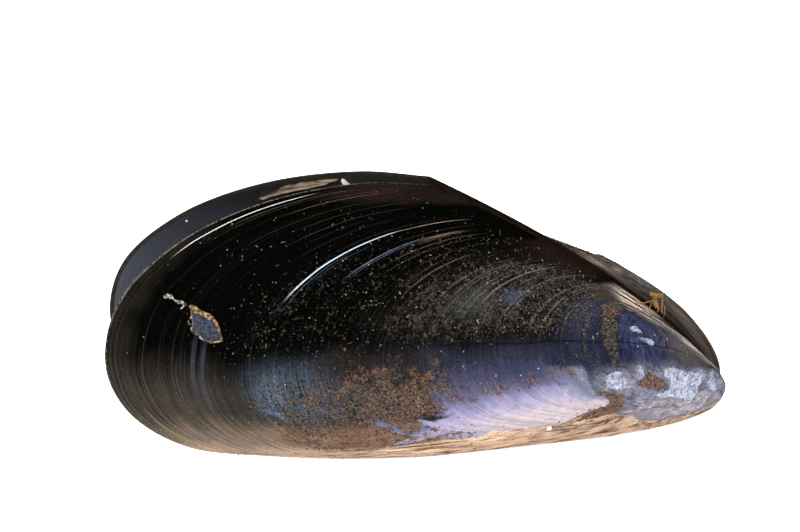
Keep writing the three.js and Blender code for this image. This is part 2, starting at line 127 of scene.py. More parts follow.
# Outlines on a valve, as corners of growth stage and share.
OUTLINES = {
    "lavender": [
        (0.36, 0.6), (0.365, 0.52), (0.378, 0.45), (0.4, 0.42), (0.43, 0.4), (0.47, 0.385),
        (0.5, 0.37), (0.545, 0.375), (0.575, 0.385), (0.6, 0.42), (0.64, 0.42), (0.655, 0.45),
        (0.66, 0.48), (0.672, 0.53), (0.68, 0.555), (0.667, 0.56), (0.655, 0.53), (0.64, 0.505),
        (0.622, 0.512), (0.61, 0.53), (0.6, 0.512), (0.585, 0.52), (0.55, 0.525), (0.5, 0.53),
        (0.44, 0.54), (0.4, 0.55),
    ],
    "lavender top": [
        (0.355, 0.54), (0.41, 0.48), (0.5, 0.47), (0.585, 0.49), (0.585, 0.535), (0.57, 0.575),
        (0.55, 0.6), (0.5, 0.615), (0.44, 0.62), (0.38, 0.61), (0.36, 0.59),
    ],
    "low strip": [
        (0.66, 0.478), (0.69, 0.475), (0.725, 0.465), (0.74, 0.44), (0.728, 0.43), (0.7, 0.45),
        (0.675, 0.455),
    ],
    "violet": [(0.36, 0.57), (0.5, 0.56), (0.7, 0.58), (0.7, 0.3), (0.36, 0.3)],
    "under wear": [(0.35, 0.3), (0.35, 0.47), (0.45, 0.5), (0.6, 0.51), (0.75, 0.5), (0.75, 0.3)],
    "pale violet": [(0.385, 0.53), (0.45, 0.535), (0.55, 0.525), (0.7, 0.53), (0.7, 0.3), (0.36, 0.3)],
    "pink white": [
        (0.38, 0.46), (0.42, 0.485), (0.5, 0.49), (0.58, 0.48), (0.61, 0.45), (0.57, 0.36),
        (0.42, 0.36),
    ],
    "deep blue": [
        (0.186, 0.57), (0.285, 0.565), (0.3, 0.7), (0.31, 0.8), (0.275, 0.82), (0.24, 0.82),
        (0.2, 0.78), (0.18, 0.68),
    ],
    "middle blue": [(0.3, 0.55), (0.38, 0.56), (0.38, 0.68), (0.375, 0.8), (0.345, 0.84), (0.32, 0.8)],
    "blue streak": [(0.37, 0.6), (0.44, 0.615), (0.56, 0.6), (0.56, 0.635), (0.45, 0.65), (0.37, 0.66)],
    "blue fleck": [(0.465, 0.735), (0.47, 0.79), (0.49, 0.78), (0.485, 0.74)],
    "grey fleck": [(0.5, 0.7), (0.51, 0.75), (0.545, 0.8), (0.555, 0.74), (0.53, 0.71)],
    "umbo": [
        (-0.01, -0.01), (0.35, 0.05), (0.5, 0.09), (0.54, 0.13), (0.51, 0.19), (0.46, 0.255),
        (0.445, 0.33), (0.39, 0.365), (0.37, 0.42), (0.366, 0.5), (0.34, 0.56), (0.2, 0.575),
        (-0.01, 0.57),
    ],
    "violet front": [(0.355, 0.6), (0.39, 0.6), (0.405, 0.5), (0.39, 0.43), (0.35, 0.43)],
    "pale umbo": [
        (0.16, 0.05), (0.5, 0.05), (0.54, 0.14), (0.44, 0.31), (0.36, 0.33), (0.3, 0.27), (0.2, 0.22),
    ],
    # The sheen and slate zones lie where the lower flank mirrors the pale floor: partly dusty slate-blue
    # skin, partly painted reflection.
    "sheen": [
        (0.68, 0.6), (0.71, 0.62), (0.75, 0.628), (0.79, 0.622), (0.798, 0.6), (0.793, 0.575),
        (0.775, 0.563), (0.745, 0.56), (0.71, 0.565), (0.69, 0.58),
    ],
    "slate": [
        (0.5, 0.58), (0.54, 0.62), (0.66, 0.625), (0.76, 0.615), (0.81, 0.6), (0.82, 0.57),
        (0.8, 0.54), (0.76, 0.53), (0.7, 0.52), (0.66, 0.52), (0.6, 0.53), (0.55, 0.56),
    ],
    "bright fleck": [(0.764, 0.566), (0.776, 0.586), (0.782, 0.584), (0.771, 0.562)],
    "strip tail": [(0.615, 0.49), (0.66, 0.5), (0.7, 0.57), (0.66, 0.57), (0.64, 0.53), (0.615, 0.52)],
    "brown top": [
        (0.33, 0.67), (0.34, 0.86), (0.4, 0.93), (0.5, 0.99), (0.6, 0.97), (0.62, 0.84), (0.64, 0.7),
        (0.6, 0.64),
    ],
    "front brown": [(0.3, 0.8), (0.33, 0.79), (0.39, 0.84), (0.43, 0.92), (0.38, 0.92), (0.32, 0.87)],
    "maroon front": [(0.47, 0.93), (0.5, 1.01), (0.68, 1.01), (0.66, 0.95), (0.58, 0.92)],
    "maroon rear": [(0.88, 0.93), (0.88, 1.01), (1.01, 1.01), (1.01, 0.93), (0.96, 0.89), (0.92, 0.9)],
    "rear brown": [(0.96, 0.55), (0.955, 0.6), (0.97, 0.68), (0.98, 0.78), (1.01, 0.8), (1.01, 0.55)],
    "dark beak top": [(0.13, 0.575), (0.19, 0.57), (0.2, 0.7), (0.21, 0.78), (0.17, 0.79), (0.13, 0.7)],
    "dorsal beak": [
        (0, 0.6), (0.12, 0.62), (0.16, 0.76), (0.22, 0.82), (0.28, 0.84), (0.36, 0.89), (0.42, 0.94),
        (0.43, 1.01), (0, 1.01),
    ],
    "hinge shade": [(0.18, 0.93), (0.23, 0.9), (0.28, 0.94), (0.28, 1.01), (0.18, 1.01)],
    # Painted shade on the left valve's outside beside the gap between the valves.
    "gap shade": [(0.08, 0.9), (0.2, 0.88), (0.3, 0.9), (0.42, 0.95), (0.44, 1.01), (0.08, 1.01)],
    # Painted highlight along the right valve's dorsal edge by the hinge.
    "dorsal highlight": [(0.3, 0.9), (0.33, 0.88), (0.39, 0.93), (0.4, 0.98), (0.33, 0.99), (0.27, 0.95)],
    # The olive, low olive and tan low zones grow lighter towards the lower edge: partly the skin's brown,
    # partly painted reflection of the pale floor.
    "olive": [
        (0.78, 0.6), (0.84, 0.62), (0.93, 0.625), (1.01, 0.61), (1.01, 0.3), (0.7, 0.3), (0.7, 0.47),
        (0.74, 0.55),
    ],
    "low olive": [(0.74, 0.52), (0.8, 0.55), (0.9, 0.556), (1.01, 0.555), (1.01, 0.3), (0.7, 0.3)],
    "tan low": [(0.72, 0.465), (0.8, 0.49), (0.9, 0.51), (1.01, 0.515), (1.01, 0.3), (0.7, 0.3)],
    "brown low": [
        (0.6, 0.5), (0.62, 0.53), (0.67, 0.54), (0.76, 0.535), (0.82, 0.55), (0.82, 0.46), (0.7, 0.43),
        (0.6, 0.42),
    ],
    "wood": [
        (0.3, 0.04), (0.5, 0.08), (0.55, 0.14), (0.51, 0.21), (0.465, 0.265), (0.45, 0.335),
        (0.41, 0.36), (0.41, 0.39), (0.45, 0.38), (0.5, 0.365), (0.56, 0.375), (0.6, 0.43),
        (0.66, 0.44), (0.72, 0.44), (0.8, 0.46), (0.9, 0.47), (1.01, 0.48), (1.01, -0.01),
        (0.3, -0.01),
    ],
    "wide rust": [
        (0.5, 0.57), (0.53, 0.635), (0.6, 0.635), (0.68, 0.645), (0.74, 0.61), (0.8, 0.575),
        (0.8, 0.52), (0.74, 0.48), (0.69, 0.49), (0.67, 0.52), (0.65, 0.5), (0.62, 0.515), (0.6, 0.52),
        (0.56, 0.555),
    ],
    "thick rust": [
        (0.56, 0.56), (0.57, 0.61), (0.63, 0.61), (0.68, 0.59), (0.7, 0.55), (0.69, 0.53),
        (0.65, 0.53), (0.6, 0.52),
    ],
    "rust flecks": [
        (0.38, 0.6), (0.39, 0.56), (0.45, 0.54), (0.55, 0.54), (0.58, 0.58), (0.54, 0.62),
        (0.45, 0.61),
    ],
    "beak rust": [
        (0.258, 0.545), (0.268, 0.545), (0.284, 0.515), (0.299, 0.494), (0.308, 0.45), (0.299, 0.415),
        (0.275, 0.425), (0.257, 0.485),
    ],
    "rust strip": [
        (0.352, 0.425), (0.354, 0.476), (0.368, 0.5), (0.378, 0.48), (0.388, 0.425), (0.42, 0.395),
        (0.45, 0.388), (0.5, 0.362), (0.52, 0.35), (0.46, 0.325), (0.44, 0.325), (0.395, 0.36),
    ],
    "front mud band": [
        (0.294, 0.56), (0.287, 0.66), (0.289, 0.72), (0.32, 0.87), (0.345, 0.86), (0.347, 0.82),
        (0.325, 0.76), (0.31, 0.66), (0.302, 0.59),
    ],
    "rear mud band": [
        (0.339, 0.57), (0.335, 0.66), (0.345, 0.73), (0.36, 0.81), (0.372, 0.8), (0.36, 0.74),
        (0.347, 0.68), (0.345, 0.6),
    ],
    "rust dash": [(0.378, 0.57), (0.38, 0.61), (0.388, 0.61), (0.39, 0.57)],
    "second rust dash": [(0.4, 0.54), (0.402, 0.6), (0.408, 0.6), (0.41, 0.54)],
    "thick silt": [
        (0.33, 0.66), (0.35, 0.84), (0.42, 0.93), (0.5, 0.93), (0.58, 0.89), (0.62, 0.82),
        (0.64, 0.66), (0.56, 0.635), (0.45, 0.65),
    ],
    "ringed silt": [
        (0.34, 0.74), (0.37, 0.88), (0.44, 0.93), (0.55, 0.9), (0.6, 0.82), (0.58, 0.74), (0.5, 0.7),
        (0.4, 0.69),
    ],
    "thin silt": [
        (0.58, 0.62), (0.6, 0.95), (0.7, 0.94), (0.76, 0.85), (0.82, 0.76), (0.84, 0.64), (0.74, 0.61),
    ],
    "crust": [
        (0.248, 0.545), (0.25, 0.48), (0.275, 0.41), (0.296, 0.405), (0.326, 0.37), (0.331, 0.325),
        (0.306, 0.3), (0.325, 0.22), (0.3, 0.18), (0.218, 0.265), (0.171, 0.388), (0.158, 0.505),
        (0.17, 0.54), (0.21, 0.563), (0.235, 0.55),
    ],
    "crust lump": [
        (0.316, 0.555), (0.304, 0.56), (0.297, 0.552), (0.306, 0.522), (0.309, 0.488), (0.322, 0.462),
        (0.327, 0.485), (0.344, 0.475), (0.334, 0.517),
    ],
    "crust flake": [(0.283, 0.567), (0.275, 0.566), (0.274, 0.538), (0.282, 0.526), (0.291, 0.537)],
    "crust bits": [(0.357, 0.356), (0.352, 0.349), (0.368, 0.323), (0.372, 0.333)],
    "top crust": [(0.263, 0.729), (0.253, 0.744), (0.239, 0.718), (0.243, 0.704), (0.258, 0.701)],
    "top crust low": [
        (0.253, 0.677), (0.244, 0.692), (0.23, 0.69), (0.22, 0.669), (0.232, 0.651), (0.246, 0.659),
    ],
    "beak crust": [
        (0.121, 0.55), (0.104, 0.565), (0.1, 0.463), (0.123, 0.24), (0.18, 0.2), (0.16, 0.33),
    ],
    "beak crust bit": [(0.146, 0.557), (0.138, 0.551), (0.15, 0.487), (0.155, 0.509)],
    "chip": [
        (0.899, 0.695), (0.885, 0.691), (0.87, 0.687), (0.856, 0.682), (0.846, 0.673), (0.837, 0.661),
        (0.848, 0.659), (0.862, 0.6605), (0.869, 0.665), (0.879, 0.668), (0.884, 0.675),
        (0.887, 0.682), (0.893, 0.689),
    ],
}

# The skin of each valve, from the ground up: outline, colour on a screen, and how softly it ends.
GROUND = (3, 3, 2)
RIGHT_SKIN = [
    ("under wear", (98, 76, 62), 0.03), ("wide rust", (46, 38, 34), 0.05),
    ("brown top", (14, 12, 10), 0.08), ("front brown", (54, 47, 42), 0.04),
    ("maroon front", (24, 15, 12), 0.05), ("maroon rear", (30, 20, 16), 0.04),
    # Slate, olive, low olive, tan low and sheen: partly the skin's own colour, partly painted reflection of
    # the pale floor on the lower flank.
    ("slate", (34, 36, 40), 0.1), ("rear brown", (28, 25, 21), 0.04), ("olive", (52, 46, 40), 0.06),
    ("low olive", (110, 95, 81), 0.06), ("brown low", (118, 92, 75), 0.03),
    ("tan low", (174, 149, 127), 0.05), ("sheen", (68, 78, 92), 0.06),
    ("bright fleck", (96, 120, 158), 0.006), ("lavender top", (58, 54, 66), 0.05),
    ("deep blue", (44, 49, 74), 0.08), ("middle blue", (37, 41, 60), 0.05),
    ("blue streak", (38, 39, 54), 0.05), ("blue fleck", (54, 65, 82), 0.03),
    ("grey fleck", (50, 52, 50), 0.05), ("wood", (198, 166, 139), 0.012),
    ("umbo", (108, 108, 124), 0.07), ("pale umbo", (142, 139, 149), 0.08),
    ("dark beak top", (70, 66, 69), 0.07), ("dorsal beak", (116, 107, 101), 0.05),
    # The pale zone on the dorsal edge by the hinge is a painted highlight.
    ("hinge shade", (38, 32, 28), 0.05), ("dorsal highlight", (152, 138, 126), 0.04),
]
LEFT_SKIN = [
    # Olive and low olive: partly the skin's brown, partly painted reflection of the pale floor.
    ("brown top", (20, 17, 15), 0.08), ("olive", (62, 54, 47), 0.06),
    ("low olive", (116, 97, 82), 0.06), ("wood", (150, 124, 104), 0.03),
    ("umbo", (112, 112, 126), 0.08), ("dark beak top", (78, 70, 66), 0.06),
    ("deep blue", (78, 72, 72), 0.1), ("front brown", (118, 104, 92), 0.05),
    # The dark zone by the gap is painted shade.
    ("dorsal beak", (66, 57, 50), 0.05), ("gap shade", (40, 33, 28), 0.05),
]
# What lies bare where the skin is worn off, on either valve.
BARE = [
    ("violet", (112, 110, 148), 0.09), ("pale violet", (158, 151, 182), 0.08),
    ("pink white", (184, 171, 176), 0.08), ("violet front", (112, 114, 136), 0.04),
    ("strip tail", (100, 106, 150), 0.02), ("low strip", (168, 165, 184), 0.01),
]
BARE_GROUND = (52, 56, 86)
# How much of each outline is covered, and how softly it ends.
RIGHT_WORN = [("lavender", 1.0, 0.014), ("lavender top", 0.95, 0.09), ("low strip", 0.85, 0.01)]
LEFT_WORN = [("lavender", 0.55, 0.04)]
RIGHT_RUST = [
    ("wide rust", 0.5, 0.07), ("thick rust", 0.72, 0.06), ("brown low", 0.47, 0.03),
    ("rust flecks", 0.42, 0.03), ("beak rust", 0.95, 0.022), ("rust strip", 0.8, 0.03),
    ("rust dash", 0.6, 0.006), ("second rust dash", 0.45, 0.006),
]
LEFT_RUST = [("wide rust", 0.4, 0.06), ("rust strip", 0.6, 0.03)]
SILT = [
    ("thick silt", 0.46, 0.07), ("thin silt", 0.3, 0.08), ("deep blue", 0.08, 0.05),
    ("middle blue", 0.36, 0.05), ("front mud band", 0.9, 0.012), ("rear mud band", 0.7, 0.014),
    ("sheen", 0.42, 0.05), ("slate", 0.5, 0.08),
]
SPECKLED = [
    ("deep blue", 0.8, 0.05), ("umbo", 0.7, 0.05), ("lavender", 0.8, 0.03),
    ("lavender top", 0.8, 0.03),
]
RIGHT_LIME = [
    ("crust", 0.86, 0.035), ("crust lump", 0.86, 0.018), ("crust flake", 0.84, 0.012),
    ("crust bits", 0.8, 0.012), ("top crust", 0.78, 0.018), ("top crust low", 0.68, 0.02),
    ("beak crust", 0.68, 0.04), ("beak crust bit", 0.74, 0.012),
]
LEFT_LIME = [("crust", 0.5, 0.05)]

ZONES = {
    RIGHT: {"skin": RIGHT_SKIN, "worn": RIGHT_WORN, "rust": RIGHT_RUST, "lime": RIGHT_LIME},
    LEFT: {"skin": LEFT_SKIN, "worn": LEFT_WORN, "rust": LEFT_RUST, "lime": LEFT_LIME},
}

# Lines along growth edges where an edge is worn or silt has settled, and painted highlights where a ledge
# catches the light: the bluish-white lines at stages 0.779 and 0.7305 and the white line at 0.983. Each
# gives stage, share where it starts and ends, half width, colour on a screen and strength. The left valve
# shows the first few.
WEAR_AND_HIGHLIGHT_LINES = [
    (0.779, 0.72, 0.87, 0.0024, (206, 226, 242), 2.0),
    (0.777, 0.87, 0.95, 0.0024, (176, 150, 128), 1.0), (0.771, 0.7, 0.8, 0.0014, (70, 84, 104), 0.8),
    (0.7655, 0.74, 0.83, 0.0012, (60, 72, 92), 0.7),
    (0.7305, 0.76, 0.87, 0.0018, (112, 130, 156), 1.0),
    (0.7255, 0.76, 0.86, 0.0012, (80, 94, 116), 0.9), (0.725, 0.86, 0.92, 0.006, (140, 116, 98), 0.8),
    (0.717, 0.85, 0.9, 0.002, (96, 78, 62), 0.8), (0.983, 0.755, 0.885, 0.0014, (236, 236, 230), 1.6),
    (0.972, 0.8, 0.93, 0.0012, (104, 92, 78), 0.7), (0.941, 0.84, 0.94, 0.0016, (112, 96, 84), 0.8),
    (0.953, 0.88, 0.95, 0.0012, (92, 74, 64), 0.7), (0.825, 0.77, 0.9, 0.002, (34, 33, 31), 0.8),
    (0.845, 0.8, 0.88, 0.001, (56, 52, 46), 0.7), (0.63, 0.74, 0.86, 0.0025, (92, 88, 80), 0.7),
    (0.643, 0.76, 0.84, 0.0012, (84, 80, 72), 0.7), (0.515, 0.74, 0.92, 0.0025, (130, 114, 98), 0.9),
    (0.563, 0.74, 0.88, 0.002, (110, 98, 84), 0.9), (0.859, 0.585, 0.665, 0.0045, (58, 65, 77), 0.8),
    (0.8725, 0.59, 0.665, 0.005, (56, 62, 73), 0.8), (0.884, 0.59, 0.65, 0.0008, (66, 70, 78), 0.6),
    (0.925, 0.5, 0.57, 0.002, (160, 142, 122), 0.6), (0.965, 0.49, 0.58, 0.002, (160, 142, 122), 0.6),
    (0.897, 0.56, 0.63, 0.0016, (110, 104, 96), 0.6), (0.745, 0.84, 0.95, 0.0016, (74, 62, 54), 0.8),
    (0.703, 0.8, 0.93, 0.002, (86, 76, 66), 0.8), (0.791, 0.8, 0.93, 0.0014, (64, 57, 52), 0.7),
    (0.688, 0.78, 0.92, 0.0014, (80, 70, 62), 0.7), (0.66, 0.8, 0.92, 0.0016, (70, 60, 52), 0.7),
    (0.863, 0.8, 0.93, 0.0016, (50, 45, 41), 0.8), (0.887, 0.82, 0.94, 0.0014, (56, 47, 41), 0.8),
    (0.911, 0.78, 0.93, 0.0014, (60, 52, 45), 0.7), (0.965, 0.78, 0.9, 0.001, (68, 60, 52), 0.7),
    (0.533, 0.42, 0.6, 0.0014, (112, 78, 62), 0.9),
]

# The glossy skin's roughness, and that of silt, rust, lime and worn shell.
GLOSS = (0.17, 0.3)
DRY_ROUGHNESS = 0.6

# How far the growth lines wander, in stages.
LINE_WANDER = 0.005

# What noise reaches in practice, spread out to fill 0 to 1.
NOISE_LOW = 0.27
NOISE_HIGH = 0.73


# Small numeric helpers

def smooth(x):
    x = np.clip(x, 0, 1)
    return x * x * (3 - 2 * x)


def between(x, low, high, soft):
    """1 where x lies between low and high, falling to 0 over soft."""
    return smooth((x - low) / soft + 0.5) * smooth((high - x) / soft + 0.5)


LATTICES = {}


def value_noise(points, size, seed):
    """Smooth noise from 0 to 1 whose lumps are about size across."""
    if seed not in LATTICES:
        LATTICES[seed] = np.random.default_rng(seed).random((32, 32, 32))
    table = LATTICES[seed]
    q = points / size + 1000.0
    cell = np.floor(q).astype(int)
    part = q - cell
    part = part * part * (3 - 2 * part)
    total = np.zeros(points.shape[:-1])
    for corner in itertools.product((0, 1), repeat=3):
        value = table[tuple((cell[..., i] + corner[i]) % 32 for i in range(3))]
        for i in range(3):
            value = value * (part[..., i] if corner[i] else 1 - part[..., i])
        total += value
    return total


def rough_noise(points, size, seed, octaves=3):
    """Noise from 0 to 1 with finer lumps on top of the coarse ones."""
    total = np.zeros(points.shape[:-1])
    weight = 1.0
    norm = 0.0
    for octave in range(octaves):
        total += weight * value_noise(points, size / 2 ** octave, seed + octave)
        norm += weight
        weight *= 0.5
    return total / norm


def line_noise(x, size, seed):
    """Smooth noise of one number, 0 to 1."""
    return value_noise(np.stack([x, x * 0, x * 0], -1), size, seed)


def unit(vectors):
    return vectors / np.maximum(np.linalg.norm(vectors, axis=-1, keepdims=True), 1e-12)


def curve_through(points, steps):
    """Points along a centripetal curve through the given ones, with so many steps between two of them."""
    p = np.array(points, float)
    p = np.vstack([2 * p[0] - p[1], p, 2 * p[-1] - p[-2]])
    dense = []
    for p0, p1, p2, p3 in zip(p, p[1:], p[2:], p[3:]):
        k1 = math.dist(p0, p1) ** 0.5
        k2 = k1 + math.dist(p1, p2) ** 0.5
        k3 = k2 + math.dist(p2, p3) ** 0.5
        k = np.linspace(k1, k2, steps, endpoint=False)[:, None]
        a1 = (k1 - k) / k1 * p0 + k / k1 * p1
        a2 = (k2 - k) / (k2 - k1) * p1 + (k - k1) / (k2 - k1) * p2
        a3 = (k3 - k) / (k3 - k2) * p2 + (k - k2) / (k3 - k2) * p3
        b1 = (k2 - k) / k2 * a1 + k / k2 * a2
        b2 = (k3 - k) / (k3 - k1) * a2 + (k - k1) / (k3 - k1) * a3
        dense.append((k2 - k) / (k2 - k1) * b1 + (k - k1) / (k2 - k1) * b2)
    return np.vstack(dense + [p[-2:-1]])


# The growth spiral

def edge_table(count=6000):
    """The edge as evenly spaced points of a curve through its corners."""
    dense = curve_through(EDGE, 60)
    run = np.concatenate([[0], np.cumsum(np.linalg.norm(np.diff(dense, axis=0), axis=1))])
    even = np.linspace(0, run[-1], count)
    return np.stack([np.interp(even, run, dense[:, i]) for i in (0, 1)], -1)


EDGE_TABLE = edge_table()
HINGE = EDGE_TABLE[-1] / np.linalg.norm(EDGE_TABLE[-1])
LOWER = np.array([HINGE[1], -HINGE[0]])
LOWER = LOWER if LOWER[1] < 0 else -LOWER


def edge_at(share):
    """Points of the flat edge, by their share of the way along it."""
    places = np.linspace(0, 1, len(EDGE_TABLE))
    return np.stack([np.interp(share, places, EDGE_TABLE[:, i]) for i in (0, 1)], -1)


def growth(stage, share):
    """The plain swept surface of the right valve."""
    stage, share = np.broadcast_arrays(np.asarray(stage, float), np.asarray(share, float))
    flat = edge_at(np.clip(share, 0, 1))
    run = flat @ HINGE
    out = flat @ LOWER
    lift = np.radians(BEAK_LIFT) * (1 - np.maximum(stage, 0) ** LIFT_POWER)
    turn = np.radians(TURN_RATE) * np.log(1 / np.maximum(stage, YOUNGEST))
    x = run * HINGE[0] + out * np.cos(lift) * LOWER[0]
    y = run * HINGE[1] + out * np.cos(lift) * LOWER[1]
    z = out * np.sin(lift)
    turned_x = x * np.cos(turn) + y * np.sin(turn)
    turned_y = -x * np.sin(turn) + y * np.cos(turn)
    return np.stack([turned_x, turned_y, z], -1) * stage[..., None]


def outward(stage, share):
    """The outside's normal."""
    step = 0.003
    s = np.clip(share, step, 1 - step)
    t = np.clip(stage, step, 1 - step)
    along = growth(t, s + step) - growth(t, s - step)
    grown = growth(t + step, s) - growth(t - step, s)
    return unit(np.cross(along, grown))


def cavity(stage, share):
    """The inside: the outside drawn in towards the middle, least at the edge and at the beak."""
    stage, share = np.broadcast_arrays(np.asarray(stage, float), np.asarray(share, float))
    point = growth(stage, share)
    fullness = np.maximum(smooth((1 - stage) / EDGE_WALL_REACH), 1 - smooth(share / BEAK_WALL_REACH))
    kept = EDGE_WALL_SHARE + (1 - EDGE_WALL_SHARE) * fullness
    inwards = (CAVITY_CENTRE - point) * (1 - CAVITY_SCALE)
    inwards[..., 2] = -point[..., 2] * (1 - CAVITY_DEPTH_SCALE)
    return point + inwards * kept[..., None]


# From the shell's own frame to the standing shell

def turned(points, side):
    """A valve's points after it opens by half the gape about the hinge, still in the shell's own frame."""
    half = math.radians(GAPE / 2)
    run = points[..., :2] @ HINGE
    out = points[..., :2] @ LOWER
    z = points[..., 2] + HINGE_GAP
    new_out = out * math.cos(half) - z * math.sin(half)
    new_z = out * math.sin(half) + z * math.cos(half)
    flat = run[..., None] * HINGE + new_out[..., None] * LOWER
    return np.concatenate([flat, side * new_z[..., None]], -1)


def leaned(points):
    """Points with z up and the shell pitched a little forward."""
    pitch = math.radians(PITCH)
    x, y, z = points[..., 0], -points[..., 2], points[..., 1]
    forward = x * math.cos(pitch) + z * math.sin(pitch)
    return np.stack([forward, y, z * math.cos(pitch) - x * math.sin(pitch)], -1)


def beak_place():
    """Where the beaks stand so that the middle of the underside of the shell's box is the origin."""
    stage, share = np.meshgrid(np.linspace(0, 1, 80), np.linspace(0, 1, 160), indexing="ij")
    plain = growth(stage, share)
    both = np.concatenate([leaned(turned(plain, side)).reshape(-1, 3) for side in (RIGHT, LEFT)])
    low, high = both.min(0), both.max(0)
    return np.array([-(low[0] + high[0]) / 2, 0, -low[2]])


BEAK_PLACE = beak_place()


def standing(points, side=None):
    """Points of a valve on the standing shell, in metres. With no side they are placed already."""
    placed = points if side is None else turned(points, side)
    return (leaned(placed) + BEAK_PLACE) * MM


# Where a valve shows what

def patch(t, s, outline, soft):
    """1 inside an outline, falling to 0 over soft across its line."""
    corners = OUTLINES[outline]
    inside = np.zeros(t.shape, bool)
    nearest = np.full(t.shape, 9.0)
    for (t0, s0), (t1, s1) in zip(corners, corners[1:] + corners[:1]):
        run = (t1 - t0) ** 2 + (s1 - s0) ** 2
        along = np.clip(((t - t0) * (t1 - t0) + (s - s0) * (s1 - s0)) / run, 0, 1)
        gap = np.hypot(t - t0 - along * (t1 - t0), s - s0 - along * (s1 - s0))
        nearest = np.minimum(nearest, gap)
        if s0 != s1:
            crossing = t0 + (t1 - t0) * (s - s0) / (s1 - s0)
            inside ^= ((s0 > s) != (s1 > s)) & (t < crossing)
    return smooth(0.5 + np.where(inside, nearest, -nearest) / soft)


def coverage(t, s, zones):
    """How much of the surface is covered, by zones of outline, share and softness."""
    found = np.zeros(t.shape)
    for outline, share, soft in zones:
        found = np.maximum(found, share * patch(t, s, outline, soft))
    return found


def paint(t, s, ground, zones):
    """Colours from the ground up, by zones of outline, colour and softness."""
    colour = np.ones(t.shape + (3,)) * srgb(*ground)[:3]
    for outline, tone, soft in zones:
        share = patch(t, s, outline, soft)[..., None]
        colour = colour * (1 - share) + share * np.array(srgb(*tone)[:3])
    return colour


def wavered(t, s, points, reach, size, seed):
    """Stage and share moved by up to half of reach, in millimetres, so that outlines come out ragged."""
    moved_t = t + reach / STAGE_LENGTH * (rough_noise(points, size, seed) - 0.5)
    moved_s = s + reach / SHARE_LENGTH / np.maximum(t, 0.1) * (rough_noise(points, size, seed + 30) - 0.5)
    return moved_t, moved_s


def features(t, s, points, side, seed):
    """Colours and masks of a valve's outside, by name."""
    wt, ws = wavered(t, s, points, 2.4, 3.0, seed)
    zones = ZONES[side]
    found = {
        "skin": paint(wt, ws, GROUND, zones["skin"]),
        "bare": paint(wt, ws, BARE_GROUND, BARE),
        "silt": np.maximum(coverage(wt, ws, SILT), 0.06),
        "rings": patch(t, s, "ringed silt", 0.1),
        "speckled": coverage(wt, ws, SPECKLED),
        "crease": crease(t, s),
        "pitted": np.maximum(patch(wt, ws, "sheen", 0.08), 0.8 * patch(wt, ws, "slate", 0.1)),
        "clouded": np.maximum(patch(wt, ws, "umbo", 0.05), 0.9 * patch(wt, ws, "deep blue", 0.05)),
        "wood": (np.maximum(patch(wt, ws, "wood", 0.02), 0.6 * patch(wt, ws, "brown low", 0.03))
                 + 0.45 * patch(wt, ws, "pale umbo", 0.06)),
        "dorsal": patch(wt, ws, "dorsal beak", 0.05),
    }
    for name in ("worn", "rust", "lime"):
        found[name] = coverage(wt, ws, zones[name])
    low_rear = 0.55 * between(s, 0.46, 0.66, 0.08) * smooth((t - 0.72) / 0.1)
    sheen = patch(t, s, "sheen", 0.04)
    found["lined"] = 0.3 + 0.5 * patch(t, s, "brown top", 0.1) + np.maximum(low_rear, sheen)
    found["chip"] = chip_mask(t, s, points, seed) if side == RIGHT else np.zeros(t.shape)
    return found


def crease(t, s):
    """The fine dark line that runs from the umbo back over the flank."""
    waver = CREASE_WAVER * (line_noise(t, 0.02, 43) - 0.5)
    across = (s - CREASE_SHARE - waver) / CREASE_HALF
    return np.exp(-across ** 2) * between(t, *CREASE_STAGES, 0.1)


def chip_mask(t, s, points, seed):
    wt, ws = wavered(t, s, points, 0.5, 0.5, seed + 5)
    return patch(wt, ws, "chip", 0.002)


def ridge_height(t, s):
    """The height of the growth ledges, each of which swells up to its end and then drops."""
    starts = np.array([FIRST_RIDGE] + LEDGES)
    ends = np.array(LEDGES + [1.0])
    heights = np.array(LEDGE_HEIGHTS)
    index = np.clip(np.searchsorted(starts, t, side="right") - 1, 0, len(starts) - 1)
    start, end = starts[index], ends[index]
    share = np.clip((t - start) / (end - LEDGE_WIDTH - start), 0, 1) ** 2
    share = np.where(t < FIRST_RIDGE, 0, share)
    drop = smooth((end - t) / (2 * LEDGE_WIDTH))
    fade = smooth(s / LEDGE_FADE) * smooth((1 - s) / LEDGE_FADE)
    return heights[index] * fade * share * drop


def relief(t, s, points, found, seed):
    """Height over the plain surface: ledges, growth lines, swellings, crust, wear and the chip."""
    fade = smooth(s / 0.1) * smooth((1 - s) / 0.05) * smooth(t / 0.1) * smooth((1 - t) / 0.012)
    waver = t + 0.003 * (rough_noise(points, 9.0, seed + 3) - 0.5)
    lines = 0.5 * line_noise(waver, 0.022, seed + 4) + 0.5 * line_noise(waver, 0.009, seed + 6)
    height = ridge_height(waver, s)
    height = height + fade * GROWTH_LINES * (lines - 0.5)
    height = height + fade * SWELLINGS * (rough_noise(points, 12.0, seed + 7) - 0.5)
    lumps = CRUST_RISE + CRUST_LUMPS * np.maximum(rough_noise(points, 0.9, seed + 8, 2) - 0.35, 0)
    height = height + fade * smooth(found["lime"] * 2 - 0.5) * lumps
    height = height + fade * RUST_LUMPS * found["rust"] * rough_noise(points, 0.7, seed + 9, 2)
    height = height - fade * WEAR_DEPTH * smooth(found["worn"])
    return height - fade * CREASE_DEPTH * found["crease"] - CHIP_DEPTH * found["chip"]


def outer_surface(t, s, side):
    """Points of a valve's outside with all its relief, and its colours and masks."""
    seed = SEEDS[side]
    plain = growth(t, s)
    found = features(t, s, plain, side, seed)
    points = plain + outward(t, s) * relief(t, s, plain, found, seed)[..., None]
    points[..., 2] = np.maximum(points[..., 2], 0)
    return points, found


# Meshes

